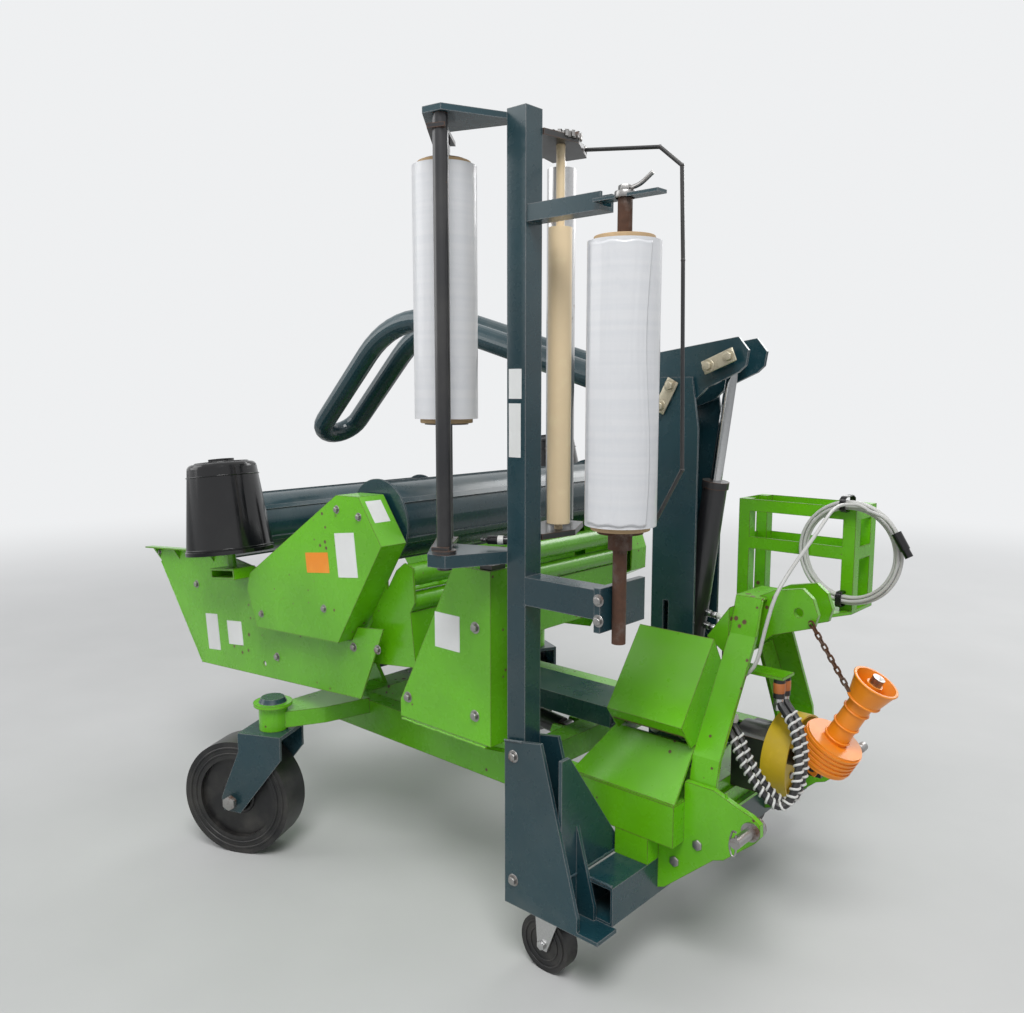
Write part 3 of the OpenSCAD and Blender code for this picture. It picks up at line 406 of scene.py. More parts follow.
cone_plastic = moulded("cone_plastic", (0.003, 0.003, 0.004), 0.13, scuff=0.10, grain=500.0, dust=0.06)
tyre_rubber = moulded("tyre_rubber", (0.005, 0.005, 0.006), 0.42, scuff=0.25, grain=300.0, dust=0.18,
                      strength=0.4)
cream_plastic = moulded("cream_plastic", (0.76, 0.60, 0.38), 0.35, scuff=0.2, grain=700.0, dust=0.3)
orange_plastic = moulded("orange_plastic", (0.86, 0.26, 0.006), 0.30, scuff=0.3, grain=500.0, dust=0.3)
mustard_plastic = moulded("mustard_plastic", (0.52, 0.36, 0.015), 0.40, scuff=0.4, grain=500.0, dust=0.4)
cable_sheath = moulded("cable_sheath", (0.50, 0.50, 0.48), 0.45, scuff=0.2, grain=800.0, dust=0.4)
hose_rubber = moulded("hose_rubber", (0.014, 0.014, 0.015), 0.42, scuff=0.4, grain=500.0, dust=0.4)
pale_plastic = moulded("pale_plastic", (0.62, 0.62, 0.60), 0.35, scuff=0.3, grain=500.0, dust=0.5)
brown_plastic = moulded("brown_plastic", (0.42, 0.13, 0.03), 0.35, scuff=0.3, grain=500.0, dust=0.5)
card_board = moulded("card_board", (0.42, 0.29, 0.16), 0.80, scuff=0.4, grain=250.0, dust=0.1, strength=0.3)
white_sticker = moulded("white_sticker", (0.74, 0.75, 0.74), 0.30, scuff=0.25, grain=900.0, dust=0.5,
                        strength=0.05)
orange_sticker = moulded("orange_sticker", (0.85, 0.27, 0.01), 0.30, scuff=0.4, grain=900.0, dust=0.4,
                         strength=0.05)
white_film = wound_film("white_film")

FINISHES = {
    lime_enamel: ["main_frame", "caster_arms", "hitch_plates", "headstock", "valve_hood", "front_lid",
                  "cutter_tower", "rack", "table_frame", "side_panels", "chain_covers"],
    teal_enamel: ["lift_column", "mast_base", "left_base", "film_mast", "tilt_frame", "loop_arm",
                  "front_roller", "rear_roller", "right_fork", "left_fork"],
    black_enamel: ["film_holder", "guard_rod", "stretcher_frame", "film_swing", "tilt_barrel",
                   "lift_barrel", "gearbox"],
    forged_steel: ["hitch_pins"],
    zinc_steel: ["ridge_roller", "right_small_fork", "left_small_fork"],
    rusty_steel: ["spare_spindle"],
    chain_steel: ["hold_chain"],
    hose_rubber: ["hoses"],
    piston_chrome: ["tilt_rod", "lift_rod"],
    cone_plastic: ["right_cone", "left_cone", "cable_plug"],
    tyre_rubber: ["right_wheel", "left_wheel", "right_small_wheel", "left_small_wheel"],
    white_film: ["film_roll", "spare_roll"],
    cream_plastic: ["stretch_roller"],
    orange_plastic: ["pto_shaft"],
    mustard_plastic: ["pto_guard"],
}


def finish_nodes():
    for material, names in FINISHES.items():
        for name in names:
            mesh = nodes[name].data
            mesh.materials.clear()
            mesh.materials.append(material)


# Modelling helpers
# turned parts are given in metres as reach from their point, radius, depth, sides, and edge

# edges that turn by more than this stay sharp
SHARP_TURN = math.radians(35)
# cosine above which a face looks along an axis, and below which it looks across it
ALONG = 0.9
ACROSS = 0.5


def deselect():
    if bpy.context.object and bpy.context.object.mode != "OBJECT":
        bpy.ops.object.mode_set(mode="OBJECT")
    bpy.ops.object.select_all(action="DESELECT")


def take(obj):
    """The only selected object, ready for operators."""
    deselect()
    obj.select_set(True)
    bpy.context.view_layer.objects.active = obj
    return obj


def pick_faces(obj, wanted):
    """Edit mode with only the faces selected whose centre and normal are wanted."""
    take(obj)
    bpy.ops.object.mode_set(mode="EDIT")
    bpy.ops.mesh.select_mode(type="FACE")
    bpy.ops.mesh.select_all(action="DESELECT")
    shape = bmesh.from_edit_mesh(obj.data)
    for face in shape.faces:
        face.select_set(wanted(face.calc_center_median(), face.normal))
    bmesh.update_edit_mesh(obj.data)


def settle_place():
    """The active object's place, turn and size go into its mesh."""
    bpy.ops.object.transform_apply(location=True, rotation=True, scale=True)
    return bpy.context.object


def rounded(obj, width, segments=2):
    """A bevel on the sharp edges, applied."""
    take(obj)
    bevel = obj.modifiers.new("rounding", "BEVEL")
    bevel.width = width
    bevel.segments = segments
    bevel.limit_method = "ANGLE"
    bpy.ops.object.modifier_apply(modifier=bevel.name)
    bpy.ops.object.shade_smooth_by_angle(angle=SHARP_TURN)
    return obj


def walled(obj, thickness, offset):
    """An open sheet given a wall, outside it for an offset of 1 and inside for -1."""
    take(obj)
    wall = obj.modifiers.new("wall", "SOLIDIFY")
    wall.thickness = thickness
    wall.offset = offset
    bpy.ops.object.modifier_apply(modifier=wall.name)
    return obj


def settled(obj, name, material, body):
    """The piece with its place in its mesh, its finish and its body."""
    take(obj)
    settle_place()
    obj.name = name
    obj.data.name = name
    obj.data.materials.clear()
    obj.data.materials.append(material)
    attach(obj, body)
    return obj


def joined(parts):
    """One object made of all the parts, in their order."""
    deselect()
    for part in parts:
        part.select_set(True)
    bpy.context.view_layer.objects.active = parts[0]
    bpy.ops.object.join()
    return bpy.context.object


def copies(model, places):
    """Copies of a model as one object; a place is a point, the way its top looks and a size in mm."""
    made = []
    for point, look, size in places:
        mesh = model.data.copy()
        turn = Vector(look).to_track_quat("Z", "Y").to_matrix().to_4x4()
        mesh.transform(Matrix.Translation(point) @ turn @ Matrix.Scale(size / 1000, 4))
        made.append(linked(model.name, mesh))
    return joined(made)


def drum(point, look, radius, depth, sides=32):
    """A cylinder that starts at the point and looks that way, in metres."""
    way = Vector(look).normalized()
    bpy.ops.mesh.primitive_cylinder_add(vertices=sides, radius=radius, depth=depth,
                                        location=Vector(point) + way * depth / 2,
                                        rotation=way.to_track_quat("Z", "Y").to_euler())
    return settle_place()


def turned(point, look, reach, radius, depth, sides, edge, segments=2):
    """A drum with its edges rounded, which starts a reach away from the point."""
    start = point + Vector(look) * reach
    return rounded(drum(start, look, radius, depth, sides), edge, segments)


def ring(point, look, radius, wire, sides=48, round_sides=10):
    way = Vector(look).normalized()
    bpy.ops.mesh.primitive_torus_add(major_radius=radius, minor_radius=wire, major_segments=sides,
                                     minor_segments=round_sides, location=point,
                                     rotation=way.to_track_quat("Z", "Y").to_euler())
    settle_place()
    bpy.ops.object.shade_smooth()
    return bpy.context.object


def smooth_path(points, steps):
    """Points of one smooth line through the given ones."""
    line = [points[0] * 2 - points[1], *points, points[-1] * 2 - points[-2]]
    path = []
    for i in range(1, len(line) - 2):
        a, b, c, d = line[i - 1:i + 3]
        for k in range(steps):
            t = k / steps
            path.append(0.5 * (2 * b + (c - a) * t + (2 * a - 5 * b + 4 * c - d) * t * t
                               + (3 * b - a - 3 * c + d) * t * t * t))
    return path + [points[-1]]


def line_object(name, path, radius, cyclic=False):
    """A round curve along a path."""
    curve = bpy.data.curves.new(name, "CURVE")
    curve.dimensions = "3D"
    spline = curve.splines.new("POLY")
    spline.points.add(len(path) - 1)
    for dot, place in zip(spline.points, path):
        dot.co = (*place, 1)
    spline.use_cyclic_u = cyclic
    spline.use_smooth = True
    curve.bevel_depth = radius
    curve.bevel_resolution = 3
    curve.use_fill_caps = not cyclic
    return linked(name, curve)


def swept(name, path, radius, cyclic=False):
    """A round bar along a path, as a mesh."""
    take(line_object(name, path, radius, cyclic))
    bpy.ops.object.convert(target="MESH")
    return bpy.context.object


# Cable: from its gland up to the rack, a hank of five turns that hangs beside it, and the tail to the plug

CABLE_D = 0.008
# route points are x, y and z in the machine's millimetres
CABLE_RISE = [(-134, -104, 612), (-128, -104, 612), (-122, -104, 612), (-98, -104, 622), (-74, -106, 656),
              (-58, -107, 725), (-42, -97, 798), (-30, -50, 852), (-26, 0, 884), (-26, 50, 910),
              (-30, 100, 931), (-36, 150, 947), (-40, 196, 955), (-34, 226, 957), (-8, 246, 955)]
CABLE_TAIL = [(36, 240, 938), (52, 236, 932), (64, 236, 922), (72, 236, 912), (78, 236, 902)]
CABLE_STEPS = 3
# the hank's middle, the radius of its turns, and that of the small ring in which the turns pack, in mm
HANK_AT = (-34, 262.3, 841)
HANK_TURN = 112
HANK_PACK = 7.6
HANK_TURNS = 5
# degrees round the hank, and round the packing ring for its start and for each turn
HANK_START = 38
HANK_END = 14
PACK_START = 250
PACK_STEP = 72
TURN_STEPS = 24


def hank_line():
    """Turns that circle the hank's middle and slowly wind round each other."""
    span = HANK_TURNS * 360 + HANK_END - HANK_START
    count = round(span / 360 * TURN_STEPS)
    line = []
    for i in range(count + 1):
        turn = HANK_START + span * i / count
        pack = math.radians(PACK_START + turn / 360 * PACK_STEP)
        reach = HANK_TURN + HANK_PACK * math.cos(pack)
        side = HANK_PACK * math.sin(pack)
        line.append(at(HANK_AT[0] + reach * math.sin(math.radians(turn)), HANK_AT[1] + side,
                       HANK_AT[2] + reach * math.cos(math.radians(turn))))
    return line


def make_cable():
    rise = [at(*spot) for spot in CABLE_RISE]
    tail = [at(*spot) for spot in CABLE_TAIL]
    route = smooth_path(rise + hank_line() + tail, CABLE_STEPS)
    cable = line_object("cable", route, CABLE_D / 2)
    cable.data.materials.append(cable_sheath)
    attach(cable, "chassis")
    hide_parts("control_cable", "cable_hank")


# Bolts

# the model bolt, in units of its head's radius across corners
WASHER_R = 1.45
WASHER_H = 0.22
HEAD_MIDDLE = 0.55
HEAD_H = 0.7
CROWN_INSET = 0.13
CROWN_H = 0.09
WASHER_EDGE = 0.06
HEAD_EDGE = 0.04

# rows of bolts: the way their heads look, the head's radius in mm, and where they sit in the machine's mm
CHASSIS_BOLTS = (
    (RIGHT, 12, ((-170, -247, 240), (-117, -247, 294))),
    (LEFT, 12, ((-170, 247, 240), (-117, 247, 294))),
    (RIGHT, 9, ((-551, -455, 712), (-553, -455, 516), (-770, -455, 508))),
    (RIGHT, 9, ((-418, -481, 470), (-418, -481, 200))),
    (FRONT, 9, ((-394, -449, 818), (-394, -449, 1550))),
    (RIGHT, 10, ((-352, -56, 430), (-274, -56, 430))),
    (RIGHT, 8, ((-187, -509, 800), (-187, -509, 838))),
    (FRONT, 11, ((-88, -205, 330), (-88, 205, 330))),
    (UP, 8, ((-392, -278, 382), (-180, -278, 382))),
    (FRONT, 9, ((-62, -46, 458), (-62, 46, 458), (-62, -46, 362), (-62, 46, 362))),
)
# the same for the table, in its own mm
TABLE_BOLTS = (
    (RIGHT, 8, ((300, -465, -300), (392, -465, -300), (-40, -465, -350), (-640, -465, -62),
                (-430, -465, -160))),
    (RIGHT, 7, ((340, -505, 40), (420, -505, 20), (250, -505, -200), (-30, -505, -225))),
    (LEFT, 7, ((350, 505, 40), (470, 505, -60))),
)


def model_bolt():
    """Hex head on a washer, standing on z = 0."""
    bpy.ops.mesh.primitive_cylinder_add(vertices=28, radius=WASHER_R, depth=WASHER_H,
                                        location=(0, 0, WASHER_H / 2))
    washer = rounded(bpy.context.object, WASHER_EDGE, 1)
    bpy.ops.mesh.primitive_cylinder_add(vertices=6, radius=1.0, depth=HEAD_H, location=(0, 0, HEAD_MIDDLE))
    head = bpy.context.object
    pick_faces(head, lambda centre, normal: normal.z > ALONG)
    bpy.ops.mesh.inset(thickness=CROWN_INSET, depth=0.0)
    bpy.ops.transform.translate(value=(0, 0, CROWN_H))
    bpy.ops.object.mode_set(mode="OBJECT")
    rounded(head, HEAD_EDGE, 1)
    bolt = joined([washer, head])
    bolt.name = "bolt"
    return bolt


def make_bolts():
    bolt = model_bolt()
    for body, rows in (("chassis", CHASSIS_BOLTS), ("turntable", TABLE_BOLTS)):
        place = PLACES[body]
        bolts = [(place(*spot), look, size) for look, size, spots in rows for spot in spots]
        settled(copies(bolt, bolts), body + "_bolts", forged_steel, body)
    bpy.data.objects.remove(bolt)


# Casters

# large casters: their posts and hubs in mm; at rest their wheels trail this much off the machine's line
POST_X = -1222
POST_Y = 525
HUB_TRAIL = 92
HUB_Z = 152
REST_TURN = math.radians(26)
# rings in a large wheel's sides: radius, wire and reach from the wheel's middle, in metres
WHEEL_RINGS = ((0.136, 0.0035, 0.0442), (0.121, 0.0030, 0.0446), (0.042, 0.006, 0.031))
HUB_CAP = (0.026, 0.036, 0.016, 40, 0.004)
AXLE_NUT = (0.068, 0.019, 0.014, 6, 0.0015)
# small casters: the left one's hub in mm, and the radius and wire of the rings in their wheels, in metres
SMALL_HUB = (-366, 425, 62)
SMALL_WHEEL_RINGS = ((0.050, 0.0022), (0.036, 0.0018), (0.016, 0.0030))
SMALL_RING_REACH = 0.0182
SMALL_NUT = (0.024, 0.010, 0.007, 6, 0.001)


def by_post(sign, x, y, z):
    """A point given in mm from a large caster's post, turned as the caster rests."""
    c, s = math.cos(REST_TURN), -sign * math.sin(REST_TURN)
    return at(POST_X + x * c - y * s, sign * POST_Y + x * s + y * c, z)


def make_wheel_details():
    """Nuts on the casters' axles, and rings and caps moulded in the wheels' sides."""
    for side, sign in SIDES.items():
        hub = by_post(sign, -HUB_TRAIL, 0, HUB_Z)
        way = (by_post(sign, -HUB_TRAIL, 100, HUB_Z) - hub).normalized()
        nuts = [turned(hub, way * s, *AXLE_NUT) for s in (-1, 1)]
        settled(joined(nuts), side + "_axle_nuts", forged_steel, side + "_caster")
        rings = [ring(hub + way * s * reach, way, radius, wire, 72) for s in (-1, 1)
                 for radius, wire, reach in WHEEL_RINGS]
        caps = [turned(hub, way * s, *HUB_CAP) for s in (-1, 1)]
        settled(joined(rings + caps), side + "_wheel_rings", tyre_rubber, side + "_wheel")
        hub = at(SMALL_HUB[0], sign * SMALL_HUB[1], SMALL_HUB[2])
        rings = [ring(hub + Vector((0, s * SMALL_RING_REACH, 0)), LEFT, radius, wire, 56) for s in (-1, 1)
                 for radius, wire in SMALL_WHEEL_RINGS]
        settled(joined(rings), side + "_small_wheel_rings", tyre_rubber, side + "_small_wheel")
        nuts = [turned(hub, look, *SMALL_NUT) for look in (RIGHT, LEFT)]
        settled(joined(nuts), side + "_small_nuts", zinc_steel, side + "_small_caster")


# Film: card cores and the loose tail

FILM_W = 498
# the spare film's axis, in the machine's mm
SPARE_X = -170
SPARE_Y = -468
# each roll's core: name, body, and x, y and lower end of its axis in mm
FILM_CORES = (("film_core", "film_roll", -583, -503, 1158),
              ("spare_core", "chassis", SPARE_X, SPARE_Y, 974))
# a card ring's radius, height, wall and edge in metres, and its middle's reach past the film in mm
CORE_R = 0.054
CORE_H = 0.012
CORE_WALL = 0.0075
CORE_EDGE = 0.002
CORE_PROUD = 3
# the tail: its radius, foot, height and wall in metres, and its start and span round the roll in degrees
TAIL_R = 0.065
TAIL_FOOT = 0.980
TAIL_H = 0.486
TAIL_WALL = 0.0006
TAIL_FROM = -118
TAIL_SPAN = 105
TAIL_GRID = (56, 110)
TAIL_SEED = 7
# the tail's folds, and the radians in one wave of a fold
TAIL_FOLDS = 9
FOLD_WAVE = 6.3
# how far in metres the tail lies off the roll, and is lifted by its folds and at its two free edges
TAIL_GAP = 0.0011
FOLD_LIFT = 0.0022
EDGE_LIFT = 0.0012
# how far in metres its upper and lower edges ripple, and how many degrees its end sways with height
TAIL_RIPPLE = 0.0012
TAIL_SWAY = 5
# radians in all of the ripples round the tail, and of the sway up it
RIPPLE_WAVE = 19
SWAY_WAVE = 7


def make_film_cores():
    """Card rings that stand proud of both ends of each roll."""
    for name, body, x, y, low in FILM_CORES:
        rings = []
        for z, way in ((low, -1), (low + FILM_W, 1)):
            bpy.ops.mesh.primitive_cylinder_add(vertices=64, radius=CORE_R, depth=CORE_H,
                                                location=at(x, y, z + way * CORE_PROUD))
            rings.append(bpy.context.object)
            pick_faces(rings[-1], lambda centre, normal: abs(normal.z) > ALONG)
            bpy.ops.mesh.inset(thickness=CORE_WALL)
            bpy.ops.object.mode_set(mode="OBJECT")
            rounded(rings[-1], CORE_EDGE)
        settled(joined(rings), name, card_board, body)


def make_film_tail():
    """Loose outer turn of the spare film: a thin sheet just off the roll, with pulled folds."""
    bpy.ops.mesh.primitive_grid_add(x_subdivisions=TAIL_GRID[0], y_subdivisions=TAIL_GRID[1], size=1)
    tail = bpy.context.object
    axis = at(SPARE_X, SPARE_Y, 0)
    chance = random.Random(TAIL_SEED)
    # each fold: its slope, waves round the roll, start and strength
    folds = [(chance.uniform(0, 1), chance.uniform(2, 7), chance.uniform(0, FOLD_WAVE),
              chance.uniform(0.3, 1.0)) for _ in range(TAIL_FOLDS)]
    for vertex in tail.data.vertices:
        u, v = vertex.co.x + 0.5, vertex.co.y + 0.5
        wave = sum(strength * math.sin(waves * FOLD_WAVE * (u + 0.25 * v * (slope - 0.5)) + start)
                   for slope, waves, start, strength in folds) / TAIL_FOLDS
        # edge is 1 at the two free edges, and belly is 1 midway up
        edge = 1 - math.sin(math.pi * min(1, u * 1.02)) ** 0.5
        belly = 0.35 + 0.65 * math.sin(math.pi * v)
        lift = TAIL_GAP + FOLD_LIFT * abs(wave) * belly + EDGE_LIFT * edge * abs(wave)
        turn = math.radians(TAIL_FROM + TAIL_SPAN * u + TAIL_SWAY * math.sin(SWAY_WAVE * v) * u)
        radius = TAIL_R + lift
        vertex.co = (axis.x + radius * math.cos(turn), axis.y + radius * math.sin(turn),
                     TAIL_FOOT + TAIL_H * v + TAIL_RIPPLE * math.sin(RIPPLE_WAVE * u))
    take(tail)
    bpy.ops.object.shade_smooth()
    settled(walled(tail, TAIL_WALL, 1), "film_tail", white_film, "chassis")


# Blank labels: bare stickers where the machine carries its signs

LABEL_LIFT = 0.0006
LABEL_WALL = 0.0009
# name, body, finish, x from and to, z from and to, and y, in the body's millimetres
LABELS = (
    ("mast_label_upper", "chassis", white_sticker, -437, -404, 1199, 1257, -473),
    ("mast_label_lower", "chassis", white_sticker, -437, -406, 1084, 1190, -473),
    ("tower_label", "chassis", white_sticker, -676, -598, 648, 728, -455),
    ("panel_label_rear", "turntable", white_sticker, -396, -330, -352, -246, -465),
    ("panel_label_front", "turntable", white_sticker, -280, -204, -330, -262, -465),
    ("cover_label", "turntable", white_sticker, 322, 396, -122, -16, -505),
    ("cover_patch", "turntable", orange_sticker, 196, 288, -112, -62, -505),
    ("far_cover_label", "turntable", white_sticker, 440, 488, -60, 10, 505),
)
# the sloped end of the right cover in the table's x and z, and its label from and to along it and across
COVER_TOP = Vector((426, 66))
COVER_FOOT = Vector((491, -50))
END_LABEL_RUN = (14, 72)
END_LABEL_Y = (-492, -446)


def label(name, corners, normal, material, body):
    """A thin sticker on four corners, lifted off its face along the normal."""
    mesh = bpy.data.meshes.new(name)
    lift = Vector(normal).normalized() * LABEL_LIFT
    mesh.from_pydata([corner + lift for corner in corners], [], [(0, 1, 2, 3)])
    mesh.update()
    sheet = linked(name, mesh)
    if mesh.polygons[0].normal.dot(Vector(normal)) < 0:
        mesh.flip_normals()
    settled(walled(sheet, LABEL_WALL, -1), name, material, body)


def make_labels():
    for name, body, material, x0, x1, z0, z1, y in LABELS:
        place = PLACES[body]
        corners = [place(x0, y, z0), place(x1, y, z0), place(x1, y, z1), place(x0, y, z1)]
        label(name, corners, RIGHT if y < 0 else LEFT, material, body)
    way = (COVER_FOOT - COVER_TOP).normalized()
    a, b = [COVER_TOP + way * run for run in END_LABEL_RUN]
    y0, y1 = END_LABEL_Y
    corners = [on_table(a.x, y0, a.y), on_table(a.x, y1, a.y),
               on_table(b.x, y1, b.y), on_table(b.x, y0, b.y)]
    normal = on_table(-way.y, 0, way.x) - on_table(0, 0, 0)
    label("cover_end_label", corners, normal if normal.x > 0 else -normal, white_sticker, "turntable")


# Hydraulics

# route of the right one of the two hoses, in the machine's mm, and how far left the other lies
HOSE = [(-142, -150, 528), (-134, -150, 528), (-126, -150, 528), (-96, -158, 500), (-66, -166, 455),
        (-30, -166, 412), (4, -158, 384), (24, -146, 392), (34, -132, 430), (28, -114, 480), (4, -92, 530),
        (-34, -72, 562), (-40, -68, 572), (-40, -68, 580)]
HOSE_APART = 26
HOSE_STEPS = 6
# the wrap's helix: its radius, pitch, start and end along the hose, its strip's radius and steps a stretch
WRAP_R = 0.0085
WRAP_PITCH = 0.016
WRAP_FROM = 0.06
WRAP_TO = 0.43
WRAP_STRIP = 0.0026
WRAP_STEPS = 8
# turned parts at the hose's two ends
HOSE_COLLAR = (0.010, 0.0105, 0.026, 24, 0.0015)
HOSE_NUT = (-0.030, 0.0115, 0.012, 6, 0.001)
HOSE_SLEEVE = (-0.018, 0.010, 0.018, 24, 0.001)
COUPLER_CAP = (0.006, 0.0128, 0.024, 24, 0.003)

# axis of the lift cylinder from its foot to its head, x and z in mm
LIFT_FOOT = (-290, 640)
LIFT_HEAD = (-205, 1277)
# the tube's radius, each port's reach up it, and a port's nut, neck and end, in metres
BARREL_R = 0.026
PORT_REACH = (0.045, 0.075)
PORT_NUT = (-0.004, 0.009, 0.016, 6, 0.001)
PORT_NECK = (0.012, 0.007, 0.014, 20, 0.001)
PORT_END = 0.024
# a lift hose after its port: steps from its start, and then places below it as steps in x, with y and z
LIFT_HOSE_BEND = ((0.030, -0.004, -0.028), (0.034, -0.012, -0.090))
LIFT_HOSE_FALL = ((0.030, -0.020, 0.60), (0.018, -0.030, 0.52), (0.004, -0.034, 0.46))
LIFT_HOSE_STEPS = 8
# its straight start, its radius and its tape's, in metres
LIFT_HOSE_START = 0.014
LIFT_HOSE_R = 0.0065
TAPE_R = 0.0075
# the steps of the path that are taped
TAPED = slice(3, 14)


def coil_round(path, radius, pitch, start, end):
    """A helix round a path between two lengths along it."""
    line = []
    run = 0
    side = Vector((0, 0, 1))
    for a, b in zip(path, path[1:]):
        way = b - a
        length = way.length
        way.normalize()
        side = (side - way * side.dot(way)).normalized()
        other = way.cross(side)
        for k in range(WRAP_STEPS):
            here = run + length * k / WRAP_STEPS
            if start < here < end:
                turn = here / pitch * 2 * math.pi
                spoke = side * math.cos(turn) + other * math.sin(turn)
                line.append(a + way * length * k / WRAP_STEPS + radius * spoke)
        run += length
    return line


def make_hose_wraps():
    """Spiral wraps of the two front hoses, with a collar at one end and a capped coupler at the other."""
    wraps, fittings, collars, caps = [], [], [], []
    for i in range(2):
        path = smooth_path([at(x, y + i * HOSE_APART, z) for x, y, z in HOSE], HOSE_STEPS)
        helix = coil_round(path, WRAP_R, WRAP_PITCH, WRAP_FROM, WRAP_TO)
        wraps.append(swept("wrap", helix, WRAP_STRIP))
        end = path[-1]
        fittings.append(turned(end, UP, *HOSE_NUT))
        fittings.append(turned(end, UP, *HOSE_SLEEVE))
        collars.append(turned(path[0], FRONT, *HOSE_COLLAR))
        caps.append(turned(end, UP, *COUPLER_CAP))
    settled(joined(wraps), "hose_wraps", pale_plastic, "chassis")
    settled(joined(fittings), "hose_fittings", zinc_steel, "chassis")
    settled(joined(collars), "hose_collars", pale_plastic, "chassis")
    settled(joined(caps), "coupler_caps", brown_plastic, "chassis")


def make_lift_fittings():
    """Two ports low on the lift cylinder's tube, and their taped hoses, which hang down into the frame."""
    lean = math.atan2(LIFT_HEAD[0] - LIFT_FOOT[0], LIFT_HEAD[1] - LIFT_FOOT[1])
    way = Vector((math.sin(lean), 0, math.cos(lean)))
    look = Vector((way.z, 0, -way.x))
    foot = at(LIFT_FOOT[0], 0, LIFT_FOOT[1])
    ports, hoses, tapes = [], [], []
    for reach in PORT_REACH:
        port = foot + way * reach + look * BARREL_R
        ports.append(turned(port, look, *PORT_NUT))
        ports.append(turned(port, look, *PORT_NECK))
        start = port + look * PORT_END
        points = [start, start + look * LIFT_HOSE_START]
        points += [start + Vector(step) for step in LIFT_HOSE_BEND]
        points += [Vector((start.x + x, y, z)) for x, y, z in LIFT_HOSE_FALL]
        path = smooth_path(points, LIFT_HOSE_STEPS)
        hoses.append(swept("lift_hose", path, LIFT_HOSE_R))
        tapes.append(swept("tape", path[TAPED], TAPE_R))
    settled(joined(ports), "lift_ports", zinc_steel, "lift_barrel")
    settled(joined(hoses), "lift_hoses", hose_rubber, "lift_barrel")
    settled(joined(tapes), "lift_hose_tape", pale_plastic, "lift_barrel")


# Stretcher: gears over its top plate, and the damper on the swing arm

GEAR_Z = 1713
GEAR_H = 0.012
# name, body, x and y of the axis in mm, teeth and radius in metres
GEARS = (("cream_gear", "stretch_roller", -415, -343, 18, 0.040),
         ("ridge_gear", "ridge_roller", -478, -262, 22, 0.050))
# a gear's shape, as shares of its radius or, for the dish, of its depth
ROOT_SHARE = 0.9
TOOTH_SHARE = 0.16
RIM_SHARE = 0.25
DISH_SHARE = 0.2
GEAR_EDGE = 0.0006
# the damper's two ends in mm, and its turned tube and band
DAMPER_FOOT = (-500, -470, 910)
DAMPER_HEAD = (-415, -414, 910)
DAMPER_TUBE = (0.0, 0.009, 0.075, 28, 0.002)
DAMPER_BAND = (0.022, 0.0096, 0.012, 28, 0.0005)
# where the rod starts, its radius, length and sides, and how far back the eye lies, its radius and wire
ROD_REACH = 0.07
DAMPER_ROD = (0.004, 0.035, 16)
EYE_BACK = 0.006
DAMPER_EYE = (0.007, 0.003, 20, 8)


def model_gear(teeth, radius, depth):
    """Spur gear standing on z = 0: every second side face of a drum is drawn out to a tooth."""
    bpy.ops.mesh.primitive_cylinder_add(vertices=teeth * 2, radius=radius * ROOT_SHARE, depth=depth,
                                        location=(0, 0, depth / 2))
    gear = bpy.context.object
    step = math.pi / teeth
    # a side face is a tooth's when its middle is this near the tooth's angle
    near = step * 0.4
    for index in range(0, teeth * 2, 2):
        angle = (index + 0.5) * step
        pick_faces(gear, lambda centre, normal: abs(normal.z) < ACROSS and abs(
            math.remainder(math.atan2(centre.y, centre.x) - angle, math.tau)) < near)
        out = (math.cos(angle) * radius * TOOTH_SHARE, math.sin(angle) * radius * TOOTH_SHARE, 0)
        bpy.ops.mesh.extrude_region_move(TRANSFORM_OT_translate={"value": out})
        bpy.ops.object.mode_set(mode="OBJECT")
    pick_faces(gear, lambda centre, normal: normal.z > ALONG)
    bpy.ops.mesh.inset(thickness=radius * RIM_SHARE, depth=-depth * DISH_SHARE)
    bpy.ops.object.mode_set(mode="OBJECT")
    return rounded(gear, GEAR_EDGE, 1)


def make_gears():
    for name, body, x, y, teeth, radius in GEARS:
        gear = model_gear(teeth, radius, GEAR_H)
        gear.location = at(x, y, GEAR_Z)
        settled(gear, name, forged_steel, body)


def make_damper():
    """Gas damper that lies on the swing arm's plate: tube with its eye, rod and band."""
    foot = at(*DAMPER_FOOT)
    way = (at(*DAMPER_HEAD) - foot).normalized()
    tube = turned(foot, way, *DAMPER_TUBE)
    band = turned(foot, way, *DAMPER_BAND)
    rod = drum(foot + way * ROD_REACH, way, *DAMPER_ROD)
    eye = ring(foot - way * EYE_BACK, UP, *DAMPER_EYE)
    settled(joined([tube, eye]), "damper", cone_plastic, "chassis")
    settled(rod, "damper_rod", piston_chrome, "chassis")
    settled(band, "damper_band", pale_plastic, "chassis")


# Welds

# a bead is drawn in steps of this length in metres, each off the line by up to this share of its radius
WELD_STEP = 0.006
WELD_JOG = 0.22
# seams in the teal iron: the bead's radius in metres, and its corners in the machine's mm
TEAL_WELDS = (
    (0.003, ((-394, -473, 500), (-394, -473, 236))),
    (0.0025, ((-442, -481, 499), (-394, -481, 507))),
    (0.003, ((-304, -470, 237), (-304, -420, 237))),
    (0.003, ((-296, -470, 237), (-296, -270, 237))),
    (0.003, ((-290, -417, 236), (-212, -417, 236))),
    (0.003, ((-394, -474, 790), (-394, -426, 790), (-394, -426, 847))),
    (0.003, ((-394, -470, 1534), (-394, -430, 1534))),
    (0.0035, ((-256, -56, 382), (-368, -56, 382))),
    (0.0035, ((-368, -56, 382), (-368, 56, 382))),
)
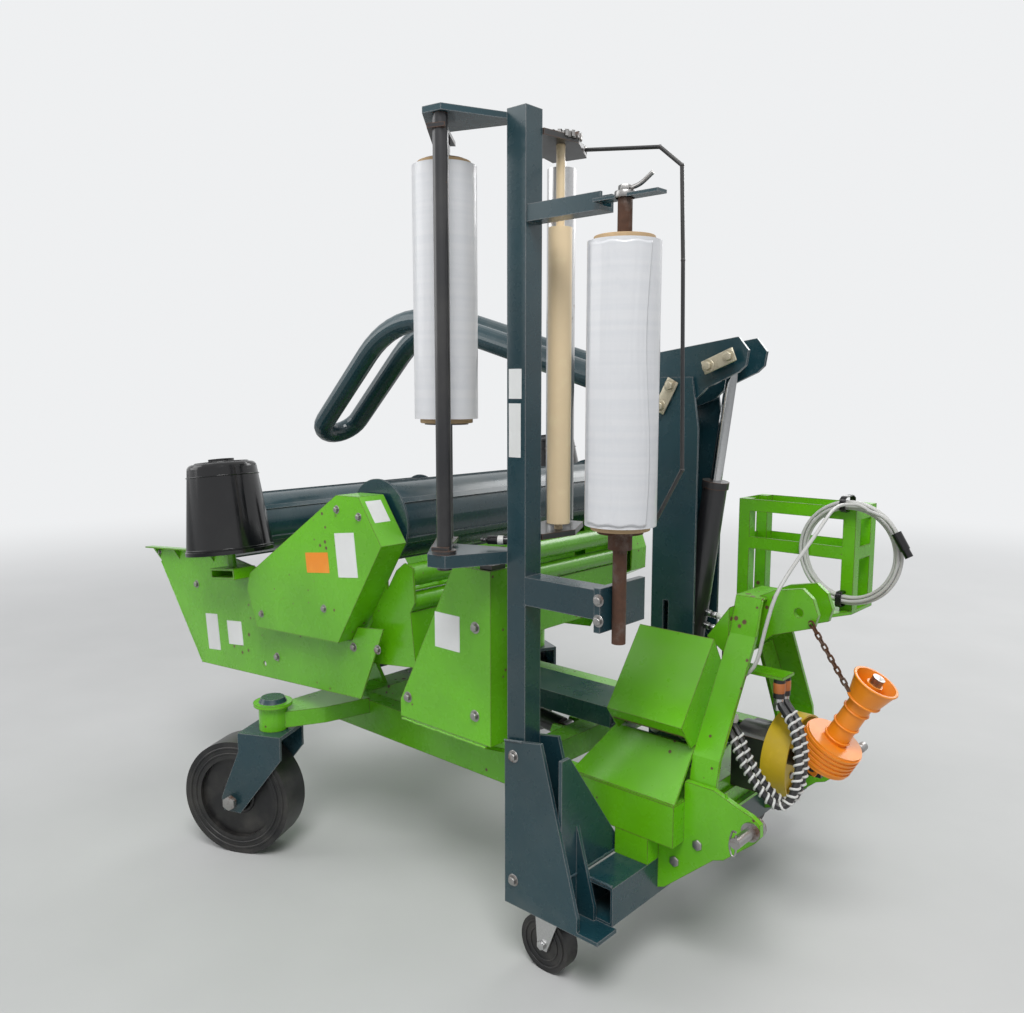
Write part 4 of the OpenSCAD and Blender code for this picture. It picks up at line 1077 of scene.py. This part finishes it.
# the same in the lime iron
LIME_WELDS = (
    (0.003, ((-58, -247, 300), (-58, -247, 420))),
    (0.003, ((-790, -455, 452), (-520, -455, 452))),
    (0.0025, ((-510, -452, 470), (-510, -452, 830))),
    (0.003, ((-150, -245, 300), (-150, -245, 376))),
    (0.0025, ((-88, -85, 700), (-88, -60, 776), (-88, 60, 776), (-88, 85, 700))),
    (0.003, ((-700, -295, 380), (-560, -295, 380))),
)
# seams on both side panels of the table, from x, z to x, z in its mm
PANEL_Y = 465
TABLE_SEAMS = ((-633, -92, -442, -396), (-300, -64, -690, -47))
SEAM_R = 0.002
SEAM_SEED = 51


def weld_bead(path, radius, seed):
    """A bead whose place wavers like a hand-run weld."""
    chance = random.Random(seed)
    line = []
    for a, b in zip(path, path[1:]):
        count = max(2, round((b - a).length / WELD_STEP))
        for k in range(count):
            jog = Vector([chance.uniform(-1, 1) for _ in range(3)]) * radius * WELD_JOG
            line.append(a.lerp(b, k / count) + jog)
    return swept("weld", line + [path[-1]], radius)


def make_welds():
    for name, rows, material, slot, seed in (("teal_welds", TEAL_WELDS, teal_enamel, "teal_paint", 11),
                                             ("lime_welds", LIME_WELDS, lime_enamel, "lime_paint", 31)):
        beads = [weld_bead([at(*corner) for corner in corners], radius, seed + i)
                 for i, (radius, corners) in enumerate(rows)]
        settled(joined(beads), name, material, "chassis")
    beads = []
    for i, (x0, z0, x1, z1) in enumerate(TABLE_SEAMS):
        for sign in (-1, 1):
            ends = [on_table(x0, sign * PANEL_Y, z0), on_table(x1, sign * PANEL_Y, z1)]
            beads.append(weld_bead(ends, SEAM_R, SEAM_SEED + i))
    settled(joined(beads), "table_seams", lime_enamel, "turntable")


# Ties, keepers and details of the cones and the shaft

# loops of tape: y from and to and z from and to in mm, all at the same x
TIE_X = -50
TIES = ((246, 309, 936, 971), (246, 278, 712, 746))
TIE_TAPE = 0.0016
TIE_TURNS = 5
TIE_STEP = 0.0028
TIE_HOP = 0.0004
# share of a side by which the tape cuts each corner of its loop
TIE_CORNER = 0.18

# keeper plates: name, body, x, y and z of the middle in mm, and how far they lean up from level, in degrees
KEEPERS = (("column_keeper", "chassis", -337, -62, 1203, 62),
           ("arm_keeper", "loop_arm", -205, -66, 1277, 22))
KEEPER_SIZE = (0.080, 0.005, 0.030)
KEEPER_EDGE = 0.0022
KEEPER_FACE = 2.5
KEEPER_BOLT = 10
KEEPER_BOLT_REACH = 0.026

# the cones' axes in the table's mm, and the seams on them: height, radius and wire in metres
CONE_X = 165
CONE_Y = 497
CONE_RINGS = ((0.150, 0.0955, 0.0016), (0.186, 0.070, 0.0022), (-0.045, 0.1145, 0.0016))
CONE_BOSS = (0.184, 0.030, 0.009, 48, 0.002, 3)
CONE_CAP = (0.192, 0.013, 0.005, 32, 0.0015)

# the folded drive shaft's line, from its joint to its rim in mm, and the middle of its guard's screws
SHAFT_JOINT = (20, 0, 425)
SHAFT_RIM = (135, 0, 632)
# the spline's start back from the rim, radius, length and sides, and how each second side sinks in
SPLINE_BACK = 0.050
SPLINE_R = 0.013
SPLINE_H = 0.060
SPLINE_SIDES = 24
GROOVE_INSET = 0.0004
GROOVE_DEPTH = 0.0016
COLLAR_BACK = 0.062
SHAFT_COLLAR = (0.0, 0.022, 0.018, 32, 0.002)
# ribs on the tube, by reach from the joint and radius, and on the bell, by reach back from the rim
TUBE_RIBS = ((0.085, 0.0265), (0.120, 0.0262), (0.160, 0.0262))
BELL_RIBS = ((0.049, 0.0345), (0.002, 0.0460))
RIB_WIRE = 0.0022
GUARD_AT = (-60, 0, 425)
GUARD_SCREW = (0.0, 0.006, 0.008, 6, 0.0008)
GUARD_SCREW_R = 0.086
# radians round the guard
GUARD_SCREWS = (0.6, 1.57, 2.54, 3.7, 5.7)


def make_hank_tie():
    """Black tape that ties the hank to the rack's corner bar, and more of it round the hank's foot."""
    parts = []
    for y0, y1, z0, z1 in TIES:
        loop = [at(TIE_X, y0, z0), at(TIE_X, y1, z0), at(TIE_X, y1, z1), at(TIE_X, y0, z1)]
        soft = []
        for i, corner in enumerate(loop):
            before, after = loop[i - 1], loop[(i + 1) % 4]
            soft += [corner.lerp(before, TIE_CORNER), corner.lerp(after, TIE_CORNER)]
        tape = swept("tape", soft, TIE_TAPE, cyclic=True)
        for k in range(TIE_TURNS):
            mesh = tape.data.copy()
            mesh.transform(Matrix.Translation((TIE_STEP * (k - TIE_TURNS // 2), 0, TIE_HOP * (k % 2))))
            parts.append(linked("tape", mesh))
        bpy.data.objects.remove(tape)
    settled(joined(parts), "hank_tie", cone_plastic, "chassis")


def make_keeper_plates():
    """Cream zinc-plated keeper plates over the pins of the column and the arm's head, two bolts in each."""
    bolt = model_bolt()
    for name, body, x, y, z, lean in KEEPERS:
        bpy.ops.mesh.primitive_cube_add(size=1)
        strap = bpy.context.object
        strap.scale = KEEPER_SIZE
        settle_place()
        rounded(strap, KEEPER_EDGE, 3)
        strap.data.transform(Matrix.Translation(at(x, y, z)) @ Matrix.Rotation(math.radians(-lean), 4, "Y"))
        way = Vector((math.cos(math.radians(lean)), 0, math.sin(math.radians(lean))))
        heads = [(at(x, y - KEEPER_FACE, z) + way * s * KEEPER_BOLT_REACH, RIGHT, KEEPER_BOLT)
                 for s in (-1, 1)]
        settled(joined([strap, copies(bolt, heads)]), name, keeper_zinc, body)
    bpy.data.objects.remove(bolt)


def make_cone_details():
    """Seams, boss and cap of the guide cones."""
    for side, sign in SIDES.items():
        centre = on_table(sign * CONE_X, sign * CONE_Y, 0)
        seams = [ring(centre + TABLE_UP * z, TABLE_UP, radius, wire, 96, 8)
                 for z, radius, wire in CONE_RINGS]
        boss = turned(centre, TABLE_UP, *CONE_BOSS)
        cap = turned(centre, TABLE_UP, *CONE_CAP)
        settled(joined(seams + [boss, cap]), side + "_cone_rings", cone_plastic, side + "_cone")


def make_shaft_details():
    """Splined end and ribs of the folded drive shaft, and the screws of its guard."""
    joint = at(*SHAFT_JOINT)
    way = (at(*SHAFT_RIM) - joint).normalized()
    length = (at(*SHAFT_RIM) - joint).length
    spline = drum(joint + way * (length - SPLINE_BACK), way, SPLINE_R, SPLINE_H, SPLINE_SIDES)
    side_turn = 360 / SPLINE_SIDES
    pick_faces(spline, lambda centre, normal: abs(normal.dot(way)) < ACROSS and (
        round(math.degrees(normal.angle(Vector(LEFT))) / side_turn) % 2 == 0))
    bpy.ops.mesh.inset(thickness=GROOVE_INSET, depth=-GROOVE_DEPTH, use_individual=True)
    bpy.ops.object.mode_set(mode="OBJECT")
    collar = turned(joint + way * (length - COLLAR_BACK), way, *SHAFT_COLLAR)
    settled(joined([spline, collar]), "shaft_end", forged_steel, "pto_shaft")
    rows = TUBE_RIBS + tuple((length - back, radius) for back, radius in BELL_RIBS)
    ribs = [ring(joint + way * reach, way, radius, RIB_WIRE, 64, 8) for reach, radius in rows]
    settled(joined(ribs), "shaft_ribs", orange_plastic, "pto_shaft")
    spokes = [Vector((0, math.cos(angle), math.sin(angle))) for angle in GUARD_SCREWS]
    screws = [turned(at(*GUARD_AT) + spoke * GUARD_SCREW_R, FRONT, *GUARD_SCREW) for spoke in spokes]
    settled(joined(screws), "guard_screws", zinc_steel, "chassis")


# Small iron

# bent clip through the right hitch pin, in the machine's mm
CLIP = [(0, -316, 379), (0, -316, 343), (-6, -318, 337), (-14, -314, 355), (-10, -312, 381), (0, -316, 385)]
CLIP_R = 0.0020
# the clamp over the spare film: its height in mm, and its washer and nut
CLAMP_Z = 1545
CLAMP_WASHER = (0.0, 0.019, 0.012, 40, 0.002)
CLAMP_NUT = (0.011, 0.013, 0.011, 6, 0.0012)
# the clamp's handle, in metres from the clamp's foot
HANDLE = [(0.013, 0, 0.016), (0.035, -0.004, 0.020), (0.060, -0.006, 0.034)]
HANDLE_R = 0.004
BENT_STEPS = 6


def make_small_iron():
    """Clip on the right hitch pin, and the washer, nut and handle that clamp the spare film."""
    clamp = at(SPARE_X, SPARE_Y, CLAMP_Z)
    clip = swept("clip", smooth_path([at(*spot) for spot in CLIP], BENT_STEPS), CLIP_R)
    washer = turned(clamp, UP, *CLAMP_WASHER)
    nut = turned(clamp, UP, *CLAMP_NUT)
    handle = swept("handle", smooth_path([clamp + Vector(spot) for spot in HANDLE], BENT_STEPS), HANDLE_R)
    settled(joined([clip, washer, nut, handle]), "small_iron", forged_steel, "chassis")


# Studio

BACKDROP = (0.86, 0.87, 0.88, 1)
SKY = (0.95, 0.97, 1.0, 1)
SKY_STRENGTH = 0.48
FLOOR_DARK = (0.47, 0.475, 0.47, 1)
FLOOR_PALE = (0.58, 0.58, 0.575, 1)
FLOOR_SIZE = 60
FLOOR_ROUGHNESS = 0.75
# metres from the middle over which the floor fades into the backdrop
FADE_FROM = 1.8
FADE_TO = 7.5
# name, place, aim, size and power of each lamp
LAMPS = (("key", (2.2, -2.6, 4.8), (-0.1, 0, 0.6), 2.2, 190),
         ("fill", (-3.5, -3.0, 2.8), (0, 0, 0.7), 3.0, 60),
         ("rim", (0.5, 4.2, 3.6), (0, 0, 0.8), 2.6, 110))


def make_floor():
    """Pale floor that fades into the backdrop where the camera sees it far off."""
    bpy.ops.mesh.primitive_plane_add(size=FLOOR_SIZE, location=(0, 0, 0))
    floor = bpy.context.object
    floor.name = "floor"
    material, tree, shader = new_material("pale_floor")
    place = object_place(tree)
    color = mixed(tree, noise(tree, place, *FLOOR_CLOUD), FLOOR_DARK, FLOOR_PALE)
    tree.links.new(color, shader.inputs["Base Color"])
    shader.inputs["Roughness"].default_value = FLOOR_ROUGHNESS
    reach = add(tree, "ShaderNodeVectorMath", {0: place}, operation="LENGTH").outputs["Value"]
    seen = add(tree, "ShaderNodeLightPath").outputs["Is Camera Ray"]
    far = calc(tree, "MULTIPLY", ramp(tree, reach, FADE_FROM, FADE_TO), seen)
    glow = add(tree, "ShaderNodeEmission", {"Color": BACKDROP, "Strength": 1.0})
    blend = add(tree, "ShaderNodeMixShader", {0: far, 1: shader.outputs[0], 2: glow.outputs[0]})
    tree.links.new(blend.outputs[0], tree.nodes["Material Output"].inputs["Surface"])
    floor.data.materials.append(material)


def make_studio():
    """A world that shows the backdrop to the camera and in gloss, and three soft lamps."""
    world = bpy.data.worlds.new("studio")
    bpy.context.scene.world = world
    world.use_nodes = True
    tree = world.node_tree
    tree.nodes.clear()
    path = add(tree, "ShaderNodeLightPath")
    seen = calc(tree, "MAXIMUM", path.outputs["Is Camera Ray"], path.outputs["Is Glossy Ray"])
    plain = add(tree, "ShaderNodeBackground", {"Color": BACKDROP, "Strength": 1.0})
    light = add(tree, "ShaderNodeBackground", {"Color": SKY, "Strength": SKY_STRENGTH})
    blend = add(tree, "ShaderNodeMixShader", {0: seen, 1: light.outputs[0], 2: plain.outputs[0]})
    add(tree, "ShaderNodeOutputWorld", {"Surface": blend.outputs[0]})
    for name, place, aim, size, power in LAMPS:
        data = bpy.data.lights.new(name, "AREA")
        data.energy = power
        data.size = size
        lamp = linked(name, data)
        lamp.location = place
        lamp.rotation_euler = (Vector(aim) - Vector(place)).to_track_quat("-Z", "Y").to_euler()


make_camera()
finish_nodes()
make_cable()
make_bolts()
make_wheel_details()
make_film_cores()
make_film_tail()
make_labels()
make_hose_wraps()
make_lift_fittings()
make_gears()
make_damper()
make_welds()
make_hank_tie()
make_keeper_plates()
make_cone_details()
make_shaft_details()
make_small_iron()
make_floor()
make_studio()
